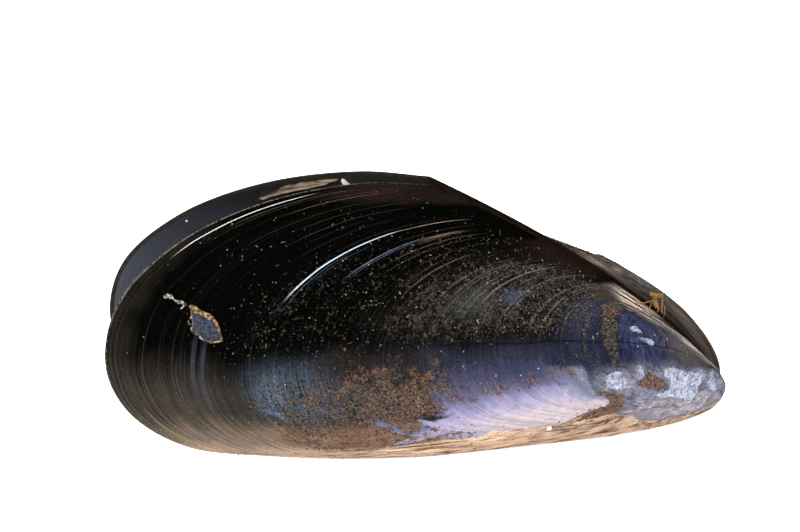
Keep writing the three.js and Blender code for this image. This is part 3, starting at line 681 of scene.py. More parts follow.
def fan_ids(stages, shares, first):
    """Vertex numbers of a swept grid whose first row and first column are one point."""
    ids = np.zeros((stages, shares), int)
    ids[1:, 1:] = first + 1 + np.arange((stages - 1) * (shares - 1)).reshape(stages - 1, shares - 1)
    ids[0, :] = first
    ids[:, 0] = first
    return ids


def grid_points(grid):
    """A swept grid's points, its first row and first column as one point."""
    return np.concatenate([grid[0, :1], grid[1:, 1:].reshape(-1, grid.shape[-1])])


def grid_faces(ids):
    quads = np.stack([ids[:-1, :-1], ids[:-1, 1:], ids[1:, 1:], ids[1:, :-1]], -1).reshape(-1, 4)
    faces = []
    for quad in quads.tolist():
        corners = list(dict.fromkeys(quad))
        if len(corners) > 2:
            faces.append(corners)
    return faces


def crowded(count, middle, reach, extra):
    """Places from 0 to 1, closer together within reach of the middle."""
    fine = np.linspace(0, 1, 4001)
    weight = 1 + extra * between(fine, middle - reach, middle + reach, reach)
    run = np.concatenate([[0], np.cumsum((weight[1:] + weight[:-1]) / 2)])
    return np.interp(np.linspace(0, run[-1], count + 1), run, fine)


def valve(name, side):
    """A valve as one closed mesh: outside, inside, the lip between them and the wall along the hinge."""
    crowding = CHIP_CROWDING if side == RIGHT else (0, 0)
    stages = crowded(STAGES, CHIP_STAGE, CHIP_REACH[0], crowding[0])
    shares = crowded(SHARES, CHIP_SHARE, CHIP_REACH[1], crowding[1])
    t, s = np.meshgrid(stages, shares, indexing="ij")
    outer, found = outer_surface(t, s, side)

    rows = np.append(np.arange(0, len(stages) - 1, CAVITY_STEP), len(stages) - 1)
    inner_t, inner_s = t[rows], s[rows]
    inner = cavity(inner_t, inner_s)
    middle = (outer[-1] + inner[-1]) / 2
    middle[:, 2] -= LIP_RISE

    ids = fan_ids(len(stages), len(shares), 0)
    inner_ids = fan_ids(len(rows), len(shares), ids.max() + 1)
    lip_ids = inner_ids.max() + 1 + np.arange(len(shares))
    points = np.concatenate([grid_points(outer), grid_points(inner), middle])

    faces = grid_faces(ids)
    kinds = [0] * len(faces)
    inside = grid_faces(inner_ids)
    faces += inside
    kinds += [1] * len(inside)
    for j in range(len(shares) - 1):
        faces.append([ids[-1, j], ids[-1, j + 1], lip_ids[j + 1], lip_ids[j]])
        faces.append([lip_ids[j], lip_ids[j + 1], inner_ids[-1, j + 1], inner_ids[-1, j]])
        kinds += [2, 2]
    hinge = hinge_faces(rows, ids, inner_ids, lip_ids)
    faces += hinge
    kinds += [3] * len(hinge)

    rest = len(points) - ids.max() - 1
    places = np.concatenate([
        grid_points(np.stack([s, t], -1)),
        grid_points(np.stack([inner_s, inner_t], -1)),
        np.stack([shares, np.ones_like(shares)], -1),
    ])
    spread = {}
    for key, value in found.items():
        flat = grid_points(value if value.ndim == 3 else value[..., None])
        spread[key] = np.concatenate([flat, np.zeros((rest, flat.shape[1]))])
    return mesh_piece(name, standing(points, side), faces, kinds, places, spread)


def hinge_faces(rows, ids, inner_ids, lip_ids):
    """Closes the wall along the hinge and at the beak, in the plane of the edge."""
    faces = []
    for k in range(len(rows) - 1):
        outer_run = ids[rows[k]:rows[k + 1] + 1, -1].tolist()
        inner_run = [inner_ids[k + 1, -1], inner_ids[k, -1]]
        if k == len(rows) - 2:
            inner_run = [lip_ids[-1]] + inner_run
        if k == 0:
            inner_run = inner_run + [lip_ids[0]]
        faces.append(list(dict.fromkeys(outer_run + inner_run)))
    return faces


def mesh_piece(name, points, faces, kinds=None, places=None, attributes=None):
    """A mesh object whose vertices carry their place on the valve, colours and masks."""
    mesh = bpy.data.meshes.new(name)
    mesh.from_pydata(points.tolist(), [], [[int(i) for i in face] for face in faces])
    if kinds is not None:
        mesh.polygons.foreach_set("material_index", kinds)
    mesh.polygons.foreach_set("use_smooth", [len(face) < 5 for face in faces])
    if places is not None:
        corner = np.empty(len(mesh.loops), int)
        mesh.loops.foreach_get("vertex_index", corner)
        layer = mesh.uv_layers.new(name="growth")
        layer.uv.foreach_set("vector", places[corner].astype(np.float32).ravel())
    for key, values in (attributes or {}).items():
        values = np.asarray(values, np.float32).reshape(len(points), -1)
        if values.shape[1] == 3:
            opaque = np.concatenate([values, np.ones((len(points), 1), np.float32)], 1)
            mesh.attributes.new(key, "FLOAT_COLOR", "POINT").data.foreach_set("color", opaque.ravel())
        else:
            mesh.attributes.new(key, "FLOAT", "POINT").data.foreach_set("value", values.ravel())
    work = bmesh.new()
    work.from_mesh(mesh)
    bmesh.ops.recalc_face_normals(work, faces=work.faces)
    work.to_mesh(mesh)
    work.free()
    piece = bpy.data.objects.new(name, mesh)
    bpy.context.scene.collection.objects.link(piece)
    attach(piece, "root")
    return piece


def joined(parts):
    """One list of points and faces from several, with each part's number at its points."""
    points, faces, numbers = [], [], []
    first = 0
    for number, (part_points, part_faces) in enumerate(parts):
        points.append(part_points)
        faces += [[first + i for i in face] for face in part_faces]
        numbers += [number] * len(part_points)
        first += len(part_points)
    return np.concatenate(points), faces, np.array(numbers)


def ring_faces(rings, sides):
    """Faces between neighbouring rings of a tube."""
    faces = []
    for i in range(rings - 1):
        for j in range(sides):
            k = (j + 1) % sides
            faces.append([i * sides + j, i * sides + k, (i + 1) * sides + k, (i + 1) * sides + j])
    return faces


def tube(path, radii, sides, squash=1.0, up=(0.3, 0.2, 1.0)):
    """A closed tube along a path, flattened by squash along its up direction."""
    path = np.asarray(path, float)
    radii = np.broadcast_to(radii, len(path))
    tangents = unit(np.gradient(path, axis=0))
    ups = np.broadcast_to(np.asarray(up, float), path.shape)
    across = unit(np.cross(tangents, ups))
    risen = np.cross(across, tangents)
    angles = np.linspace(0, 2 * np.pi, sides, endpoint=False)
    spokes = (np.cos(angles)[None, :, None] * across[:, None]
              + squash * np.sin(angles)[None, :, None] * risen[:, None])
    rings = path[:, None] + radii[:, None, None] * spokes
    ends = np.stack([path[0] - tangents[0] * radii[0] * 0.4, path[-1] + tangents[-1] * radii[-1] * 0.4])
    count = len(path)
    faces = ring_faces(count, sides)
    for j in range(sides):
        k = (j + 1) % sides
        faces.append([count * sides, k, j])
        faces.append([count * sides + 1, (count - 1) * sides + j, (count - 1) * sides + k])
    return np.concatenate([rings.reshape(-1, 3), ends]), faces


def ball(detail):
    """Points and faces of a ball of radius 1."""
    work = bmesh.new()
    bmesh.ops.create_icosphere(work, subdivisions=detail, radius=1.0)
    points = np.array([v.co[:] for v in work.verts])
    faces = [[v.index for v in face.verts] for face in work.faces]
    work.free()
    return points, faces


# Node helpers

def srgb(red, green, blue):
    """A colour as seen on a screen, 0 to 255, as the linear values that shaders take."""
    values = [c / 255 for c in (red, green, blue)]
    return tuple(c / 12.92 if c <= 0.04045 else ((c + 0.055) / 1.055) ** 2.4 for c in values) + (1.0,)


class Shader:
    """A material's node tree, built by short calls that return sockets."""

    def __init__(self, name):
        self.material = bpy.data.materials.new(name)
        self.material.use_nodes = True
        self.nodes = self.material.node_tree.nodes
        self.links = self.material.node_tree.links
        self.surface = self.nodes["Principled BSDF"]
        self.place = self.vector("SCALE", self.node("TexCoord", output="Object"), Scale=1 / MM)

    def put(self, value, socket):
        """Links a socket or sets a value. A colour of three numbers is one as seen on a screen."""
        if isinstance(value, bpy.types.NodeSocket):
            self.links.new(value, socket)
        elif socket.type == "RGBA" and len(value) == 3:
            socket.default_value = srgb(*value)
        else:
            socket.default_value = value

    def node(self, kind, inputs=(), output=0, **settings):
        """One output of a new node, whose inputs are given by name or number."""
        made = self.nodes.new("ShaderNode" + kind)
        for key, value in settings.items():
            setattr(made, key, value)
        for key, value in dict(inputs).items():
            self.put(value, made.inputs[key])
        return made.outputs[output]

    def math(self, kind, *values):
        return self.node("Math", enumerate(values), operation=kind)

    def vector(self, kind, *values, **named):
        return self.node("VectorMath", {**dict(enumerate(values)), **named}, operation=kind)

    def product(self, *values):
        return functools.reduce(lambda a, b: self.math("MULTIPLY", a, b), values)

    def highest(self, *values):
        return functools.reduce(lambda a, b: self.math("MAXIMUM", a, b), values)

    def weighted(self, *pairs):
        """The sum of values, each times its weight."""
        parts = [self.math("MULTIPLY", value, weight) for value, weight in pairs]
        return functools.reduce(lambda a, b: self.math("ADD", a, b), parts)

    def step(self, value, low, high):
        """0 below low and 1 above high."""
        inputs = {"Value": value, "From Min": low, "From Max": high}
        return self.node("MapRange", inputs, "Result", interpolation_type="SMOOTHSTEP")

    def ramp(self, value, low, high, start=0.0, end=1.0):
        inputs = {"Value": value, "From Min": low, "From Max": high, "To Min": start, "To Max": end}
        return self.node("MapRange", inputs, "Result")

    def scaled(self, value, start, end):
        """A value from 0 to 1 as one from start to end."""
        return self.ramp(value, 0.0, 1.0, start, end)

    def mask(self, name, output="Fac"):
        """What the mesh carries under a name."""
        return self.node("Attribute", output=output, attribute_name=name)

    def growth(self):
        """The share along the edge and the growth stage of a point."""
        place = self.node("UVMap", uv_map="growth")
        parts = self.node("SeparateXYZ", {0: place}).node
        return parts.outputs[0], parts.outputs[1]

    def combine(self, *values):
        return self.node("CombineXYZ", enumerate(values))

    def noise(self, scale, detail=2.0, rough=0.5, at=None, shift=0.0):
        """Noise over the shell, scale in lumps per millimetre, spread out to fill 0 to 1."""
        at = self.place if at is None else at
        inputs = {"Vector": at, "W": shift, "Scale": scale, "Detail": detail, "Roughness": rough}
        return self.ramp(self.node("TexNoise", inputs, "Fac", noise_dimensions="4D"), NOISE_LOW, NOISE_HIGH)

    def lines(self, along, count, detail):
        """Noise of one number, such as the growth stage, spread out to fill 0 to 1."""
        inputs = {"W": along, "Scale": count, "Detail": detail}
        return self.ramp(self.node("TexNoise", inputs, "Fac", noise_dimensions="1D"), NOISE_LOW, NOISE_HIGH)

    def cells(self, scale):
        """Distance to the nearest speck centre, and a random number for each speck."""
        far = self.node("TexVoronoi", {"Vector": self.place, "Scale": scale}, "Distance")
        return far, self.node("SeparateColor", {0: far.node.outputs["Color"]})

    def cover(self, share, noise, soft):
        """1 on that share of the surface, where the noise is highest."""
        raised = self.math("MULTIPLY_ADD", share, 1.2, -1.1)
        return self.step(self.math("ADD", raised, noise), -soft, soft)

    def mix(self, share, a, b, kind="RGBA"):
        """A colour, or with kind FLOAT a number, that goes from a to b as share goes from 0 to 1."""
        return self.node("Mix", {"Factor": share, "A": a, "B": b}, "Result", data_type=kind)

    def over(self, colour, top, *shares):
        """A colour with another laid over it, as far as all the shares allow."""
        return self.mix(self.product(*shares), colour, top)

    def shade(self, colour, factor):
        """A colour made darker or lighter by a factor."""
        return self.vector("SCALE", colour, Scale=factor)

    def bump(self, height, depth, below=None):
        """The normal of a surface raised by up to depth, in millimetres."""
        inputs = {"Strength": 1.0, "Distance": depth * MM, "Height": height}
        if below is not None:
            inputs["Normal"] = below
        return self.node("Bump", inputs, "Normal")

    def finish(self, colour, roughness, normal=None, **fixed):
        inputs = {"Base_Color": colour, "Roughness": roughness, **fixed}
        if normal is not None:
            inputs["Normal"] = normal
        for key, value in inputs.items():
            self.put(value, self.surface.inputs[key.replace("_", " ")])
        return self.material


# Materials

def wear_and_highlight_line(m, stage, share, line):
    """The mask of one line along a growth edge, from the table of worn edges, silt lines and painted
    highlights.
    """
    at, low, high, half, _, strength = line
    near = m.step(m.math("ABSOLUTE", m.math("SUBTRACT", stage, at)), half, half * 0.3)
    start = m.step(share, low - 0.012, low + 0.03)
    end = m.step(share, high + 0.012, high - 0.03)
    return m.product(near, strength, start, end)


def skin_noises(m):
    """The places and noises that the layers of a valve's outside share."""
    n = SimpleNamespace()
    n.share, n.stage = m.growth()
    n.grain = m.noise(3.4, 3.0, 0.65)
    n.fine = m.noise(5.0, 2.0, 0.6, shift=3.0)
    n.blot = m.noise(1.0, 4.0, 0.6, shift=7.0)
    n.large = m.noise(0.25, 3.0, 0.55, shift=11.0)
    wander = m.product(m.math("SUBTRACT", m.noise(0.12, 2.0, shift=17.0), 0.5), LINE_WANDER)
    n.moved = m.math("ADD", n.stage, wander)
    n.thin_lines = m.lines(n.moved, 260.0, 3.0)
    n.brushed = m.noise(1.0, 3.0, 0.65, at=m.combine(m.product(n.share, 26.0), m.product(n.moved, 170.0)))
    n.ragged = m.weighted((n.blot, 0.45), (n.grain, 0.3), (n.brushed, 0.25))
    return n


def mottled_skin(m, n):
    """The skin's colour with its growth lines, mottling, crease and pits."""
    swing = m.product(m.math("SUBTRACT", n.thin_lines, 0.5), m.mask("lined"))
    cloudy = m.ramp(m.math("ADD", n.blot, n.brushed), 0.55, 1.45, 0.45, 1.5)
    mottle = m.product(m.scaled(n.large, 0.75, 1.25), m.scaled(n.grain, 0.72, 1.28),
                       m.scaled(n.brushed, 0.72, 1.28), m.mix(m.mask("clouded"), 1.0, cloudy, "FLOAT"))
    colour = m.shade(m.mask("skin", "Color"), m.math("ADD", swing, mottle))
    colour = m.over(colour, (104, 98, 88), m.step(n.thin_lines, 0.7, 1.0), m.mask("lined"), 0.22, n.grain)
    colour = m.over(colour, (14, 14, 20), m.mask("crease"), 0.75)
    return m.over(colour, (14, 13, 13), m.step(n.grain, 0.46, 0.3), m.mask("pitted"), 0.8)


def streaked(m, n, colour):
    """Wood-like streaks along the lower edge and hairs across by the hinge, and their height."""
    wood = m.noise(2.6, 5.0, 0.75, at=m.vector("MULTIPLY", m.place, (0.08, 1.0, 1.0)), shift=19.0)
    lighter = m.shade(colour, m.ramp(wood, 0.3, 1.0, 0.78, 1.4))
    colour = m.over(colour, m.mix(m.step(wood, 0.54, 0.3), lighter, (96, 60, 38)), m.mask("wood"))
    hairs = m.noise(1.0, 1.5, 0.5, at=m.combine(m.product(n.share, 64.0), m.product(n.stage, 9.0)))
    lighter = m.shade(colour, m.ramp(hairs, 0.4, 0.9, 0.85, 2.5))
    colour = m.over(colour, m.mix(m.step(hairs, 0.2, 0.6), (32, 27, 24), lighter), m.mask("dorsal"))
    return colour, m.weighted((wood, m.mask("wood")), (hairs, m.mask("dorsal")))


def worn_through(m, n, colour):
    """Bare violet shell where the skin is worn off, and where that is."""
    worn = m.cover(m.mask("worn"), n.ragged, 0.26)
    wide_lines = m.scaled(m.lines(n.moved, 75.0, 2.0), 0.82, 1.1)
    bare = m.shade(m.mask("bare", "Color"), m.product(wide_lines, m.ramp(n.ragged, 0.2, 0.8, 0.72, 1.22)))
    bare = m.over(bare, (82, 70, 74), m.step(n.brushed, 0.3, 0.1), 0.5)
    return m.over(colour, bare, worn), worn


def rusted(m, n, colour):
    """Clumps of rust-brown dirt, and where they are."""
    clump = m.noise(3.6, 2.0, 0.65, shift=37.0)
    rust = m.cover(m.mask("rust"), m.weighted((n.fine, 0.35), (n.blot, 0.65)), 0.12)
    rusty = m.mix(m.step(clump, 0.15, 0.75), (40, 28, 23), m.mix(n.large, (128, 86, 62), (104, 84, 71)))
    rusty = m.mix(m.step(clump, 0.75, 1.05), rusty, (190, 136, 98))
    return m.over(colour, rusty, rust, 0.92), rust


def silted(m, n, colour):
    """Olive-grey silt, rings of it along the growth lines and white specks, and where the silt is."""
    dust = m.noise(4.2, 2.0, 0.6, shift=23.0)
    silt = m.cover(m.mask("silt"), m.weighted((dust, 0.6), (n.blot, 0.4)), 0.16)
    silty = m.mix(m.step(n.fine, 0.28, 0.8), (14, 12, 10), m.mix(n.large, (104, 90, 74), (88, 84, 78)))
    colour = m.over(colour, silty, silt, 0.85)
    rings = m.step(m.lines(n.moved, 170.0, 3.0), 0.62, 0.86)
    ringed = m.mix(n.large, (104, 90, 76), (84, 87, 94))
    colour = m.over(colour, ringed, rings, m.mask("rings"), m.step(dust, 0.15, 0.8))
    far, pick = m.cells(1.1)
    specks = m.product(m.step(far, 0.13, 0.04), m.step(pick, 0.68, 0.76))
    return m.over(colour, (212, 214, 224), specks, m.mask("speckled")), silt


def paint_wear_and_highlights(m, n, colour, lines):
    """Worn growth edges, silt lines and painted highlights along the growth edges, broken up a little."""
    broken = m.product(m.ramp(n.ragged, 0.2, 0.6, 0.35, 1.0), m.ramp(n.thin_lines, 0.2, 0.8, 0.6, 1.1))
    for line in lines:
        colour = m.over(colour, line[4], wear_and_highlight_line(m, n.moved, n.share, line), broken)
    return colour


def crusted(m, n, colour):
    """Crumbly crusts of lime, and where they are."""
    lime = m.cover(m.mask("lime"), m.weighted((n.grain, 0.4), (n.blot, 0.6)), 0.2)
    crumbs = m.step(m.noise(2.4, 4.0, 0.7, shift=29.0), 0.2, 0.75)
    return m.over(colour, m.mix(crumbs, (102, 107, 136), (190, 194, 209)), lime), lime


def chipped(m, n, colour):
    """The slate-grey shell in the chip with its pale line round it, and the pale rim of the valve."""
    chip = m.mask("chip")
    floor_tone = m.mix(m.step(n.grain, 0.1, 0.9), (32, 35, 46), (80, 85, 98))
    chip_tone = m.mix(m.step(chip, 0.5, 0.95), (120, 108, 92), floor_tone)
    colour = m.over(colour, chip_tone, m.step(chip, 0.05, 0.4))
    return m.over(colour, (118, 104, 86), m.step(n.stage, 0.9965, 0.9985), m.step(n.grain, 0.3, 0.6))


def shell_skin(name, lines):
    """The outside of a valve: glossy dark skin with growth lines, wear, rust, silt and crust, painted
    highlights along some growth edges, and painted reflection of the pale floor low on the flank.
    """
    m = Shader(name)
    n = skin_noises(m)
    colour, streaks = streaked(m, n, mottled_skin(m, n))
    colour, worn = worn_through(m, n, colour)
    colour, rust = rusted(m, n, colour)
    colour, silt = silted(m, n, colour)
    # Worn growth edges and silt lines, and painted highlights along some growth edges.
    colour = paint_wear_and_highlights(m, n, colour, lines)
    colour, lime = crusted(m, n, colour)
    colour = chipped(m, n, colour)

    dry = m.highest(rust, silt, lime, m.product(worn, 0.7), m.mask("wood"), m.mask("dorsal"))
    roughness = m.mix(dry, m.scaled(n.fine, *GLOSS), DRY_ROUGHNESS, "FLOAT")
    normal = m.bump(n.thin_lines, 0.014)
    normal = m.bump(m.product(n.fine, dry), 0.05, normal)
    normal = m.bump(streaks, 0.1, normal)
    normal = m.bump(m.product(n.grain, lime), 0.14, normal)
    return m.finish(colour, roughness, normal, Specular_IOR_Level=0.4)


def nacre(name):
    """The inside of a valve: pale bluish nacre, dark blue-grey towards the edge and brown by the hinge."""
    m = Shader(name)
    share, stage = m.growth()
    cloud = m.noise(0.12, 3.0, 0.55)
    dark = m.step(m.math("ADD", stage, m.product(m.math("SUBTRACT", cloud, 0.5), 0.08)), 0.7, 0.84)
    lines = m.lines(stage, 120.0, 3.0)
    pale = m.mix(cloud, (160, 170, 192), (222, 224, 230))
    slate = m.product(m.scaled(lines, 0.45, 1.0), m.step(share, 0.86, 0.62))
    deep = m.mix(slate, (34, 35, 38), (88, 92, 105))
    colour = m.over(m.mix(dark, pale, deep), (34, 28, 25), m.step(share, 0.78, 0.9), dark, 0.6)
    return m.finish(colour, m.scaled(cloud, 0.24, 0.4), m.bump(lines, 0.02), Specular_IOR_Level=0.6)


def edge_lime(name, dark, light):
    """The cut edge of a valve, finely flecked."""
    m = Shader(name)
    fleck = m.noise(2.5, 3.0, 0.7)
    return m.finish(m.mix(fleck, dark, light), 0.5, m.bump(fleck, 0.05))


def hinge_dark(name):
    """The hinge's wall and ligament: brown-black and fibrous along the hinge."""
    m = Shader(name)
    fibre = m.noise(2.0, 4.0, 0.65, at=m.vector("MULTIPLY", m.place, (0.25, 1.0, 1.0)))
    return m.finish(m.mix(fibre, (8, 6, 5), (46, 33, 25)), m.scaled(fibre, 0.65, 0.4), m.bump(fibre, 0.12))


def grit(name):
    """Dry grains of silt: olive grey, some brown, a few nearly white."""
    m = Shader(name)
    tone = m.mask("tone")
    colour = m.mix(m.step(tone, 0.0, 0.7), (26, 23, 20), (86, 77, 66))
    colour = m.over(colour, (150, 142, 128), m.step(tone, 0.75, 1.0))
    return m.finish(colour, 0.75, m.bump(m.noise(6.0), 0.03))


def tissue_skin(name):
    """Dried tissue: beige, with painted shade of darker brown in its folds."""
    m = Shader(name)
    blot = m.noise(1.3, 4.0, 0.6)
    streak = m.noise(3.2, 3.0, 0.65, at=m.vector("MULTIPLY", m.place, (0.25, 1.0, 1.0)))
    # Painted shade: the low parts of the folds are darker brown, the raised parts beige.
    raised = m.step(m.weighted((m.mask("fold"), 0.55), (streak, 0.45)), 0.25, 0.7)
    colour = m.over(m.mix(raised, (62, 44, 36), (196, 172, 142)), (110, 80, 60), blot, 0.3)
    return m.finish(colour, 0.45, m.bump(blot, 0.05), Subsurface_Weight=0.1)


def thread_skin(name):
    """Byssus threads: golden, some of them redder."""
    m = Shader(name)
    streak = m.noise(4.0, 3.0)
    golden = m.mix(streak, (124, 84, 40), (206, 160, 94))
    red = m.mix(streak, (92, 50, 40), (148, 92, 72))
    return m.finish(m.mix(m.mask("tone"), golden, red), 0.38, m.bump(streak, 0.02))


def white_lime(name):
    m = Shader(name)
    blot = m.noise(2.0, 3.0)
    return m.finish(m.mix(blot, (226, 226, 230), (252, 252, 252)), 0.4, m.bump(blot, 0.04))


def curled_flake(name):
    """The torn skin round the chip, golden brown and cream, and the paler flakes beyond it."""
    m = Shader(name)
    blot = m.noise(2.6, 3.0, 0.7)
    lip = m.mix(m.step(blot, 0.3, 0.95), (84, 54, 26), (216, 186, 138))
    flake = m.mix(m.step(blot, 0.3, 0.75), (76, 58, 46), (226, 220, 212))
    return m.finish(m.mix(m.mask("tone"), lip, flake), 0.42, m.bump(blot, 0.1))


def use(piece, materials, slot, *nodes):
    for material in materials:
        piece.data.materials.append(material)
    if nodes:
        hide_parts(*nodes)


# Pieces

def scatter(count, side, seed):
    """Random stages and shares, as many to a square millimetre everywhere, kept where silt lies."""
    dice = np.random.default_rng(seed)
    t = np.sqrt(dice.uniform(0.15 ** 2, 0.98 ** 2, count))
    s = dice.uniform(0.3, 0.97, count)
    silt = coverage(t, s, SILT) + 0.04 + 0.4 * coverage(t, s, ZONES[side]["rust"])
    kept = dice.random(count) < silt * (1 if side == RIGHT else 0.5)
    return t[kept], s[kept], dice


def grains(name, side, seed, count):
    """Dry grains stuck to a valve's outside, as one mesh."""
    t, s, dice = scatter(count, side, seed)
    points, _ = outer_surface(t, s, side)
    normal = outward(t, s)
    a = unit(np.cross(normal, unit(dice.normal(size=normal.shape))))
    b = np.cross(normal, a)
    size = 0.035 + 0.06 * dice.random(len(t)) ** 2.5
    longer = 1 + 2.4 * dice.random(len(t)) ** 2
    shape, faces = ball(1)
    shape = shape * (1 + 0.35 * (dice.random((len(t), len(shape), 1)) - 0.5))
    axes = (a * longer[:, None], b, 0.6 * normal)
    local = sum(shape[..., i:i + 1] * axis[:, None] for i, axis in enumerate(axes))
    cloud = (points + normal * (size * 0.25)[:, None])[:, None] + size[:, None, None] * local
    count_each = shape.shape[1]
    all_faces = [[g * count_each + i for i in face] for g in range(len(t)) for face in faces]
    tone = np.repeat(dice.random(len(t)), count_each)
    return mesh_piece(name, standing(cloud.reshape(-1, 3), side), all_faces, attributes={"tone": tone})


def half_gap(point):
    """Half the space between the valves at a point of the middle plane."""
    half = math.radians(GAPE / 2)
    return (point[..., :2] @ LOWER) * math.sin(half) + HINGE_GAP * math.cos(half)


def hinge_frame(stage):
    """Points along the hinge in the middle plane, and the direction from each into the shell."""
    step, end = 0.01, np.ones_like(stage)
    tangent = unit(growth(stage + step, end) - growth(stage - step, end))
    return growth(stage, end), np.cross([0.0, 0.0, 1.0], tangent)


def ligament_strip():
    """The strip between the hinge edges: sunk a little, ridged along its fibres, thinner at its ends."""
    stations, sides = 220, 28
    share = np.linspace(0, 1, stations)
    at, inwards = hinge_frame(LIGAMENT_STAGES[0] + (LIGAMENT_STAGES[1] - LIGAMENT_STAGES[0]) * share)
    angle = np.linspace(0, 2 * np.pi, sides, endpoint=False)
    depth = 0.5 - 0.5 * np.sign(np.cos(angle)) * np.abs(np.cos(angle)) ** 0.6
    width = np.sign(np.sin(angle)) * np.abs(np.sin(angle)) ** 0.5
    taper = (0.3 + 0.7 * np.sqrt(np.sin(np.pi * np.clip(share, 0.02, 0.98))))[:, None]
    along = np.stack(np.broadcast_arrays(share[:, None] * 9, angle[None] * 6, 0.0), -1)
    ridges = LIGAMENT_RIDGES * (value_noise(along, 1.0, 91) - 0.5)
    sunk = LIGAMENT_RECESS + LIGAMENT_DEPTH * depth[None] * taper + ridges
    points = at[:, None] + inwards[:, None] * sunk[..., None]
    points[..., 2] = width[None] * (half_gap(points) + LIGAMENT_OVERLAP) * (0.75 + 0.25 * taper)
    faces = ring_faces(stations, sides)
    last = (stations - 1) * sides
    faces.append(list(range(sides)))
    faces.append([last + j for j in reversed(range(sides))])
    return mesh_piece("ligament_strip", standing(points.reshape(-1, 3)), faces)


def tissue_sheet(first, last, width, seed):
    """A thin wrinkled sheet on the inside of the left valve, between two places of stage and share."""
    lengths, widths = 90, 22
    u, v = np.meshgrid(np.linspace(0, 1, lengths), np.linspace(-1, 1, widths), indexing="ij")
    ragged = 1 + 0.5 * (line_noise(u + 3 * (v > 0), 0.09, seed) - 0.5)
    swell = np.sin(np.pi * np.clip(u, 0.012, 0.988) ** 1.5) ** 0.7 * ragged
    drift = 0.12 * np.sin(5 * u + seed)
    t = first[0] + (last[0] - first[0]) * u + width * (v + drift) * swell
    s = first[1] + (last[1] - first[1]) * u
    coarse = np.stack([u * 5 + v * 1.5, v * 2.6 * swell + u * 2, u * 0], -1)
    fine = np.stack([u * 14, v * 6 * swell, u * 0], -1)
    folds = 0.7 * value_noise(coarse, 1.0, seed + 1) + 0.3 * value_noise(fine, 1.0, seed + 2)
    thick = smooth((1 - np.abs(v)) / 0.25) * smooth(u / 0.06) * smooth((1 - u) / 0.06)
    rise = 0.05 + (0.06 + 0.75 * folds) * (0.25 + 0.75 * thick) * 0.55
    normal = outward(t, s)
    base = cavity(t, s)
    over = base - normal * rise[..., None]
    under = base - normal * 0.02
    count = lengths * widths
    ids = np.arange(count).reshape(lengths, widths)
    faces = grid_faces(ids) + [face[::-1] for face in grid_faces(ids + count)]
    loop = np.concatenate([ids[:, 0], ids[-1, 1:], ids[-2::-1, -1], ids[0, -2:0:-1]])
    faces += [[a, b, b + count, a + count] for a, b in zip(loop, np.roll(loop, -1))]
    points = np.concatenate([over.reshape(-1, 3), under.reshape(-1, 3)])
    return points, faces, np.tile(folds.ravel(), 2)


def dried_tissue():
    """The scrap of dried tissue, and a smaller one beside it."""
    large = tissue_sheet((0.952, 0.82), (0.989, 0.916), 0.013, 5)
    small = tissue_sheet((0.95, 0.903), (0.94, 0.935), 0.009, 8)
    points, faces, _ = joined([large[:2], small[:2]])
    fold = np.concatenate([large[2], small[2]])
    return mesh_piece("dried_tissue", standing(points, LEFT), faces, attributes={"fold": fold})


def on_valve(stage, share, side, rise):
    """A point over a valve's outside, in the middle plane's frame."""
    t, s = np.array([float(stage)]), np.array([float(share)])
    return turned(growth(t, s) + outward(t, s) * rise, side)[0]


# Where the two threads run over the right valve, in stages and shares.
THREAD_TRAIL = [
    (0.325, 0.99), (0.3, 0.95), (0.289, 0.876), (0.287, 0.8), (0.301, 0.779), (0.319, 0.787),
    (0.339, 0.809), (0.345, 0.8),
]
THREAD_LOOP = [(0.345, 0.985), (0.34, 0.95), (0.315, 0.935), (0.3, 0.955), (0.305, 0.985)]


def byssus():
    """Stiff threads over the hinge gap, two that run over the right valve, and a red knot there."""
    dice = np.random.default_rng(23)
    parts, red = [], []

    def add(path, radius, redness):
        dense = curve_through(path, 8)
        parts.append(tube(dense, radius * (1 - 0.35 * np.linspace(0, 1, len(dense))), 5))
        red.append(redness)

    def by_hinge(stage, rise=0.0):
        return on_valve(stage, 0.998, LEFT, rise)

    for _ in range(13):
        foot = by_hinge(dice.uniform(0.275, 0.31), dice.uniform(-0.1, 0.15))
        tip = foot + [dice.uniform(-0.25, 0.3), dice.uniform(0.9, 1.5), dice.uniform(-0.9, -0.5)]
        knee = (foot + tip) / 2 + [dice.uniform(-0.2, 0.2), 0, dice.uniform(0, 0.3)]
        add([foot, knee, tip], dice.uniform(0.04, 0.065), dice.uniform(0, 0.3))
    bar = by_hinge(0.316) + [-0.1, 1.15, -0.6]
    for rise in (0.0, 0.17, -0.2):
        add([bar + [0, rise, 0], bar + [0.7, rise - 0.25, 0.1], bar + [1.45, rise - 0.35, 0]], 0.07, 0.1)
    for stage, drop in ((0.272, 0.0), (0.295, 0.4)):
        top = by_hinge(stage) + [0.1, 0.9 - drop, -0.4]
        low = by_hinge(stage + 0.005) + [0, -0.35, 0.3]
        add([top, (top + low) / 2 + [0.1, 0, 0.1], low], 0.055, 0.0)
    gap_end = by_hinge(0.315, 0.1) + [0, 0.4, -0.2]
    for places, rise, redness in ((THREAD_TRAIL, 0.1, 0.6), (THREAD_LOOP, 0.12, 0.1)):
        add([gap_end] + [on_valve(t, s, RIGHT, rise) for t, s in places], 0.05, redness)
    for _ in range(6):
        t, s = dice.uniform(0.314, 0.326), dice.uniform(0.755, 0.782)
        add([on_valve(t + dice.uniform(-0.009, 0.009), s + dice.uniform(-0.015, 0.015), RIGHT, rise)
             for rise in (0.04, 0.2, 0.1)], 0.045, 1.0)
    points, faces, numbers = joined(parts)
    return mesh_piece("byssus_tuft", standing(points), faces, attributes={"tone": np.array(red)[numbers]})


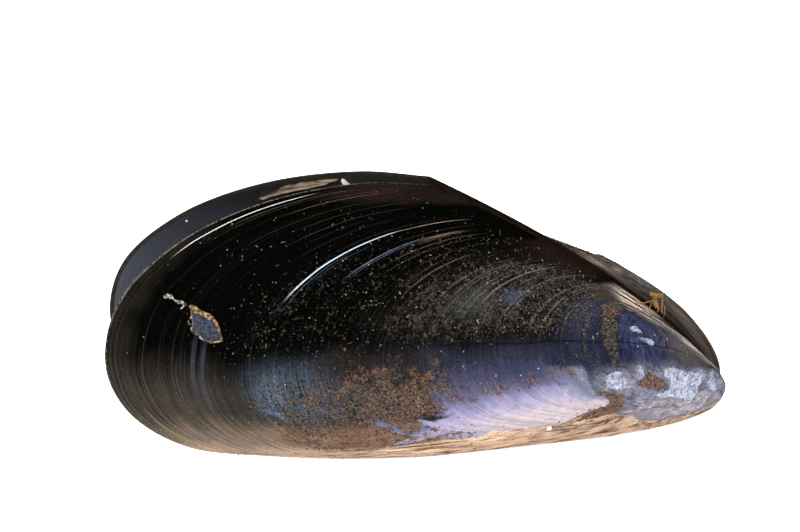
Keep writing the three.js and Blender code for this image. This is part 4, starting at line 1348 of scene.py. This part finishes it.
# The curled skin round the chip and the flakes beyond it: places of stage and share, radii, how flat,
# how far over the skin, and how pale.
CHIP_FLAKES = [
    ([(0.9, 0.6955), (0.889, 0.6925), (0.874, 0.6885), (0.86, 0.6845), (0.85, 0.6795)],
     [0.16, 0.3, 0.22, 0.28, 0.12], 0.6, 0.1, 0.0),
    ([(0.853, 0.6805), (0.846, 0.674), (0.84, 0.667), (0.8365, 0.6605)],
     [0.08, 0.16, 0.08, 0.14], 0.7, 0.04, 0.0),
    ([(0.838, 0.6605), (0.85, 0.6585), (0.856, 0.6595)], [0.05, 0.08, 0.05], 0.5, 0.0, 0.4),
    ([(0.861, 0.6605), (0.866, 0.6625), (0.869, 0.6645)], [0.05, 0.13, 0.05], 0.5, 0.02, 0.7),
    ([(0.873, 0.6655), (0.88, 0.6685), (0.885, 0.674)], [0.03, 0.06, 0.05], 0.5, 0.0, 0.3),
    ([(0.887, 0.676), (0.891, 0.679), (0.889, 0.684)], [0.05, 0.1, 0.05], 0.5, 0.02, 0.6),
    ([(0.943, 0.7015), (0.938, 0.7035), (0.932, 0.7025), (0.927, 0.7005)],
     [0.1, 0.24, 0.18, 0.07], 0.5, 0.06, 1.0),
    ([(0.925, 0.7), (0.918, 0.6985), (0.912, 0.699), (0.905, 0.6955)],
     [0.1, 0.18, 0.12, 0.08], 0.5, 0.06, 1.0),
    ([(0.912, 0.6985), (0.908, 0.694), (0.911, 0.691)], [0.1, 0.08, 0.05], 0.5, 0.05, 0.8),
]


def chip_rim():
    """The torn skin curled up along the upper side of the chip, and the flakes beyond it."""
    dice = np.random.default_rng(31)
    parts = []
    for places, radii, squash, rise, _ in CHIP_FLAKES:
        dense = curve_through(places, 12)
        t, s = dense[:, 0], dense[:, 1]
        normal = outward(t, s)
        radius = np.interp(np.linspace(0, 1, len(t)), np.linspace(0, 1, len(radii)), radii)
        radius = radius * (0.6 + 0.8 * line_noise(np.arange(len(t)) * 1.0, 4.5, int(t[0] * 1e4) % 97))
        part, faces = tube(growth(t, s) + normal * rise, radius, 8, squash, normal)
        parts.append((part + 0.09 * (dice.random(part.shape) - 0.5), faces))
    points, faces, numbers = joined(parts)
    pale = np.array([flake[-1] for flake in CHIP_FLAKES])[numbers]
    return mesh_piece("chip_rim", standing(points, RIGHT), faces, attributes={"tone": pale})


def lodged_grains():
    """A white tooth of lime and a speck inside the left valve, and a bead on the right valve's flank."""
    dice = np.random.default_rng(47)
    round_points, round_faces = ball(2)

    def lump(middle, radius, roughness):
        shape = round_points * (1 + roughness * (dice.random((len(round_points), 1)) - 0.5))
        return middle + shape * radius, round_faces

    t, s = np.linspace(0.932, 0.995, 7), np.linspace(0.904, 0.923, 7)
    path = turned(cavity(t, s) - outward(t, s) * 0.3, LEFT)
    points, faces = tube(path, [0.48, 0.43, 0.38, 0.34, 0.3, 0.26, 0.16], 9)
    tooth = (points + 0.1 * (dice.random(points.shape) - 0.5), faces)
    speck_at = turned(cavity(np.array([0.981]), np.array([0.758])), LEFT)[0]
    speck = lump(speck_at + [0, 0, 0.05], 0.13, 0.4)
    bead = lump(on_valve(0.557, 0.359, RIGHT, 0.1), 0.3, 0.12)
    points, faces, _ = joined([tooth, speck, bead])
    return mesh_piece("lodged_grains", standing(points), faces)


# The shell

inside = nacre("nacre")
hinge_skin = hinge_dark("hinge_skin")
grit_skin = grit("grit")
right_skin = shell_skin("right_skin", WEAR_AND_HIGHLIGHT_LINES)
right_edge = edge_lime("right_cut_edge", (64, 50, 40), (168, 146, 118))
left_skin = shell_skin("left_skin", WEAR_AND_HIGHLIGHT_LINES[:4])
left_edge = edge_lime("left_cut_edge", (20, 17, 16), (62, 54, 48))

right_materials = [right_skin, inside, right_edge, hinge_skin]
left_materials = [left_skin, inside, left_edge, hinge_skin]
use(valve("right_valve_shell", RIGHT), right_materials, "right_shell", "right_valve")
use(valve("left_valve_shell", LEFT), left_materials, "left_shell", "left_valve")
use(grains("right_grit", RIGHT, 71, 16000), [grit_skin], "right_shell")
use(grains("left_grit", LEFT, 72, 12000), [grit_skin], "left_shell")
use(chip_rim(), [curled_flake("curled_flake")], "right_shell")
use(ligament_strip(), [hinge_skin], "ligament", "ligament")
use(dried_tissue(), [tissue_skin("tissue_skin")], "dried_tissue", "dried_mantle")
use(byssus(), [thread_skin("thread_skin")], "byssus", "byssus_threads")
use(lodged_grains(), [white_lime("white_lime")], "left_shell")


# Stage, light and camera

# Angles in degrees, lengths in metres, the lens in millimetres.
TARGET = Vector((-0.82, 0, 22.89)) * MM
CAMERA_AZIMUTH = 0.61
CAMERA_ELEVATION = 28.0
CAMERA_ROLL = -6.5
CAMERA_DISTANCE = 300 * MM
LENS = 124
FLOOR_HALF = 3.0
FLOOR_GLOW = 0.86
SKY_GLOW = 0.02


def floor():
    """A wide pale floor that gives off nearly all the light of a white backdrop."""
    mesh = bpy.data.meshes.new("floor")
    corners = [(x * FLOOR_HALF, y * FLOOR_HALF, 0) for x, y in ((-1, -1), (1, -1), (1, 1), (-1, 1))]
    mesh.from_pydata(corners, [], [(0, 1, 2, 3)])
    piece = bpy.data.objects.new("floor", mesh)
    bpy.context.scene.collection.objects.link(piece)
    m = Shader("pale_floor")
    tone = m.mix(m.noise(0.01, 2.0), (244, 244, 244), (250, 250, 250))
    mesh.materials.append(m.finish(tone, 0.9, Emission_Color=(1, 1, 1, 1), Emission_Strength=FLOOR_GLOW))
    piece.visible_glossy = False


def softbox(name, at, size, power, tint=(1, 1, 1), aim=(0, 0, 15), mirrored=True):
    light = bpy.data.lights.new(name, "AREA")
    light.shape = "RECTANGLE"
    light.size, light.size_y = size
    light.energy = power
    light.color = tint
    lamp = bpy.data.objects.new(name, light)
    lamp.location = Vector(at)
    lamp.rotation_euler = (Vector(aim) * MM - lamp.location).to_track_quat("-Z", "Y").to_euler()
    lamp.visible_glossy = mirrored
    bpy.context.scene.collection.objects.link(lamp)


def camera():
    azimuth, elevation, roll = (math.radians(a) for a in (CAMERA_AZIMUTH, CAMERA_ELEVATION, CAMERA_ROLL))
    level = Vector((math.sin(azimuth), -math.cos(azimuth), 0))
    back = level * math.cos(elevation) + Vector((0, 0, math.sin(elevation)))
    right = Vector((math.cos(azimuth), math.sin(azimuth), 0))
    up = back.cross(right)
    right, up = right * math.cos(roll) + up * math.sin(roll), up * math.cos(roll) - right * math.sin(roll)
    data = bpy.data.cameras.new("camera")
    data.lens = LENS
    data.clip_start = 0.01
    view = bpy.data.objects.new("camera", data)
    turn = Matrix((right, up, back)).transposed().to_4x4()
    view.matrix_world = Matrix.Translation(TARGET + back * CAMERA_DISTANCE) @ turn
    bpy.context.scene.collection.objects.link(view)
    bpy.context.scene.camera = view


def world():
    made = bpy.data.worlds.new("studio")
    bpy.context.scene.world = made
    made.use_nodes = True
    background = made.node_tree.nodes["Background"]
    background.inputs["Color"].default_value = (1, 1, 1, 1)
    background.inputs["Strength"].default_value = SKY_GLOW


floor()
world()
softbox("rear_softbox", (0.0, 0.45, 0.55), (0.9, 0.45), 13.0, mirrored=False)
softbox("left_strip", (-0.5, 0.1, 0.3), (0.1, 0.4), 1.0, (0.86, 0.93, 1.0))
softbox("front_fill", (0.05, -0.55, 0.45), (0.7, 0.3), 4.6, mirrored=False)
camera()
bpy.context.scene.view_settings.view_transform = "Standard"
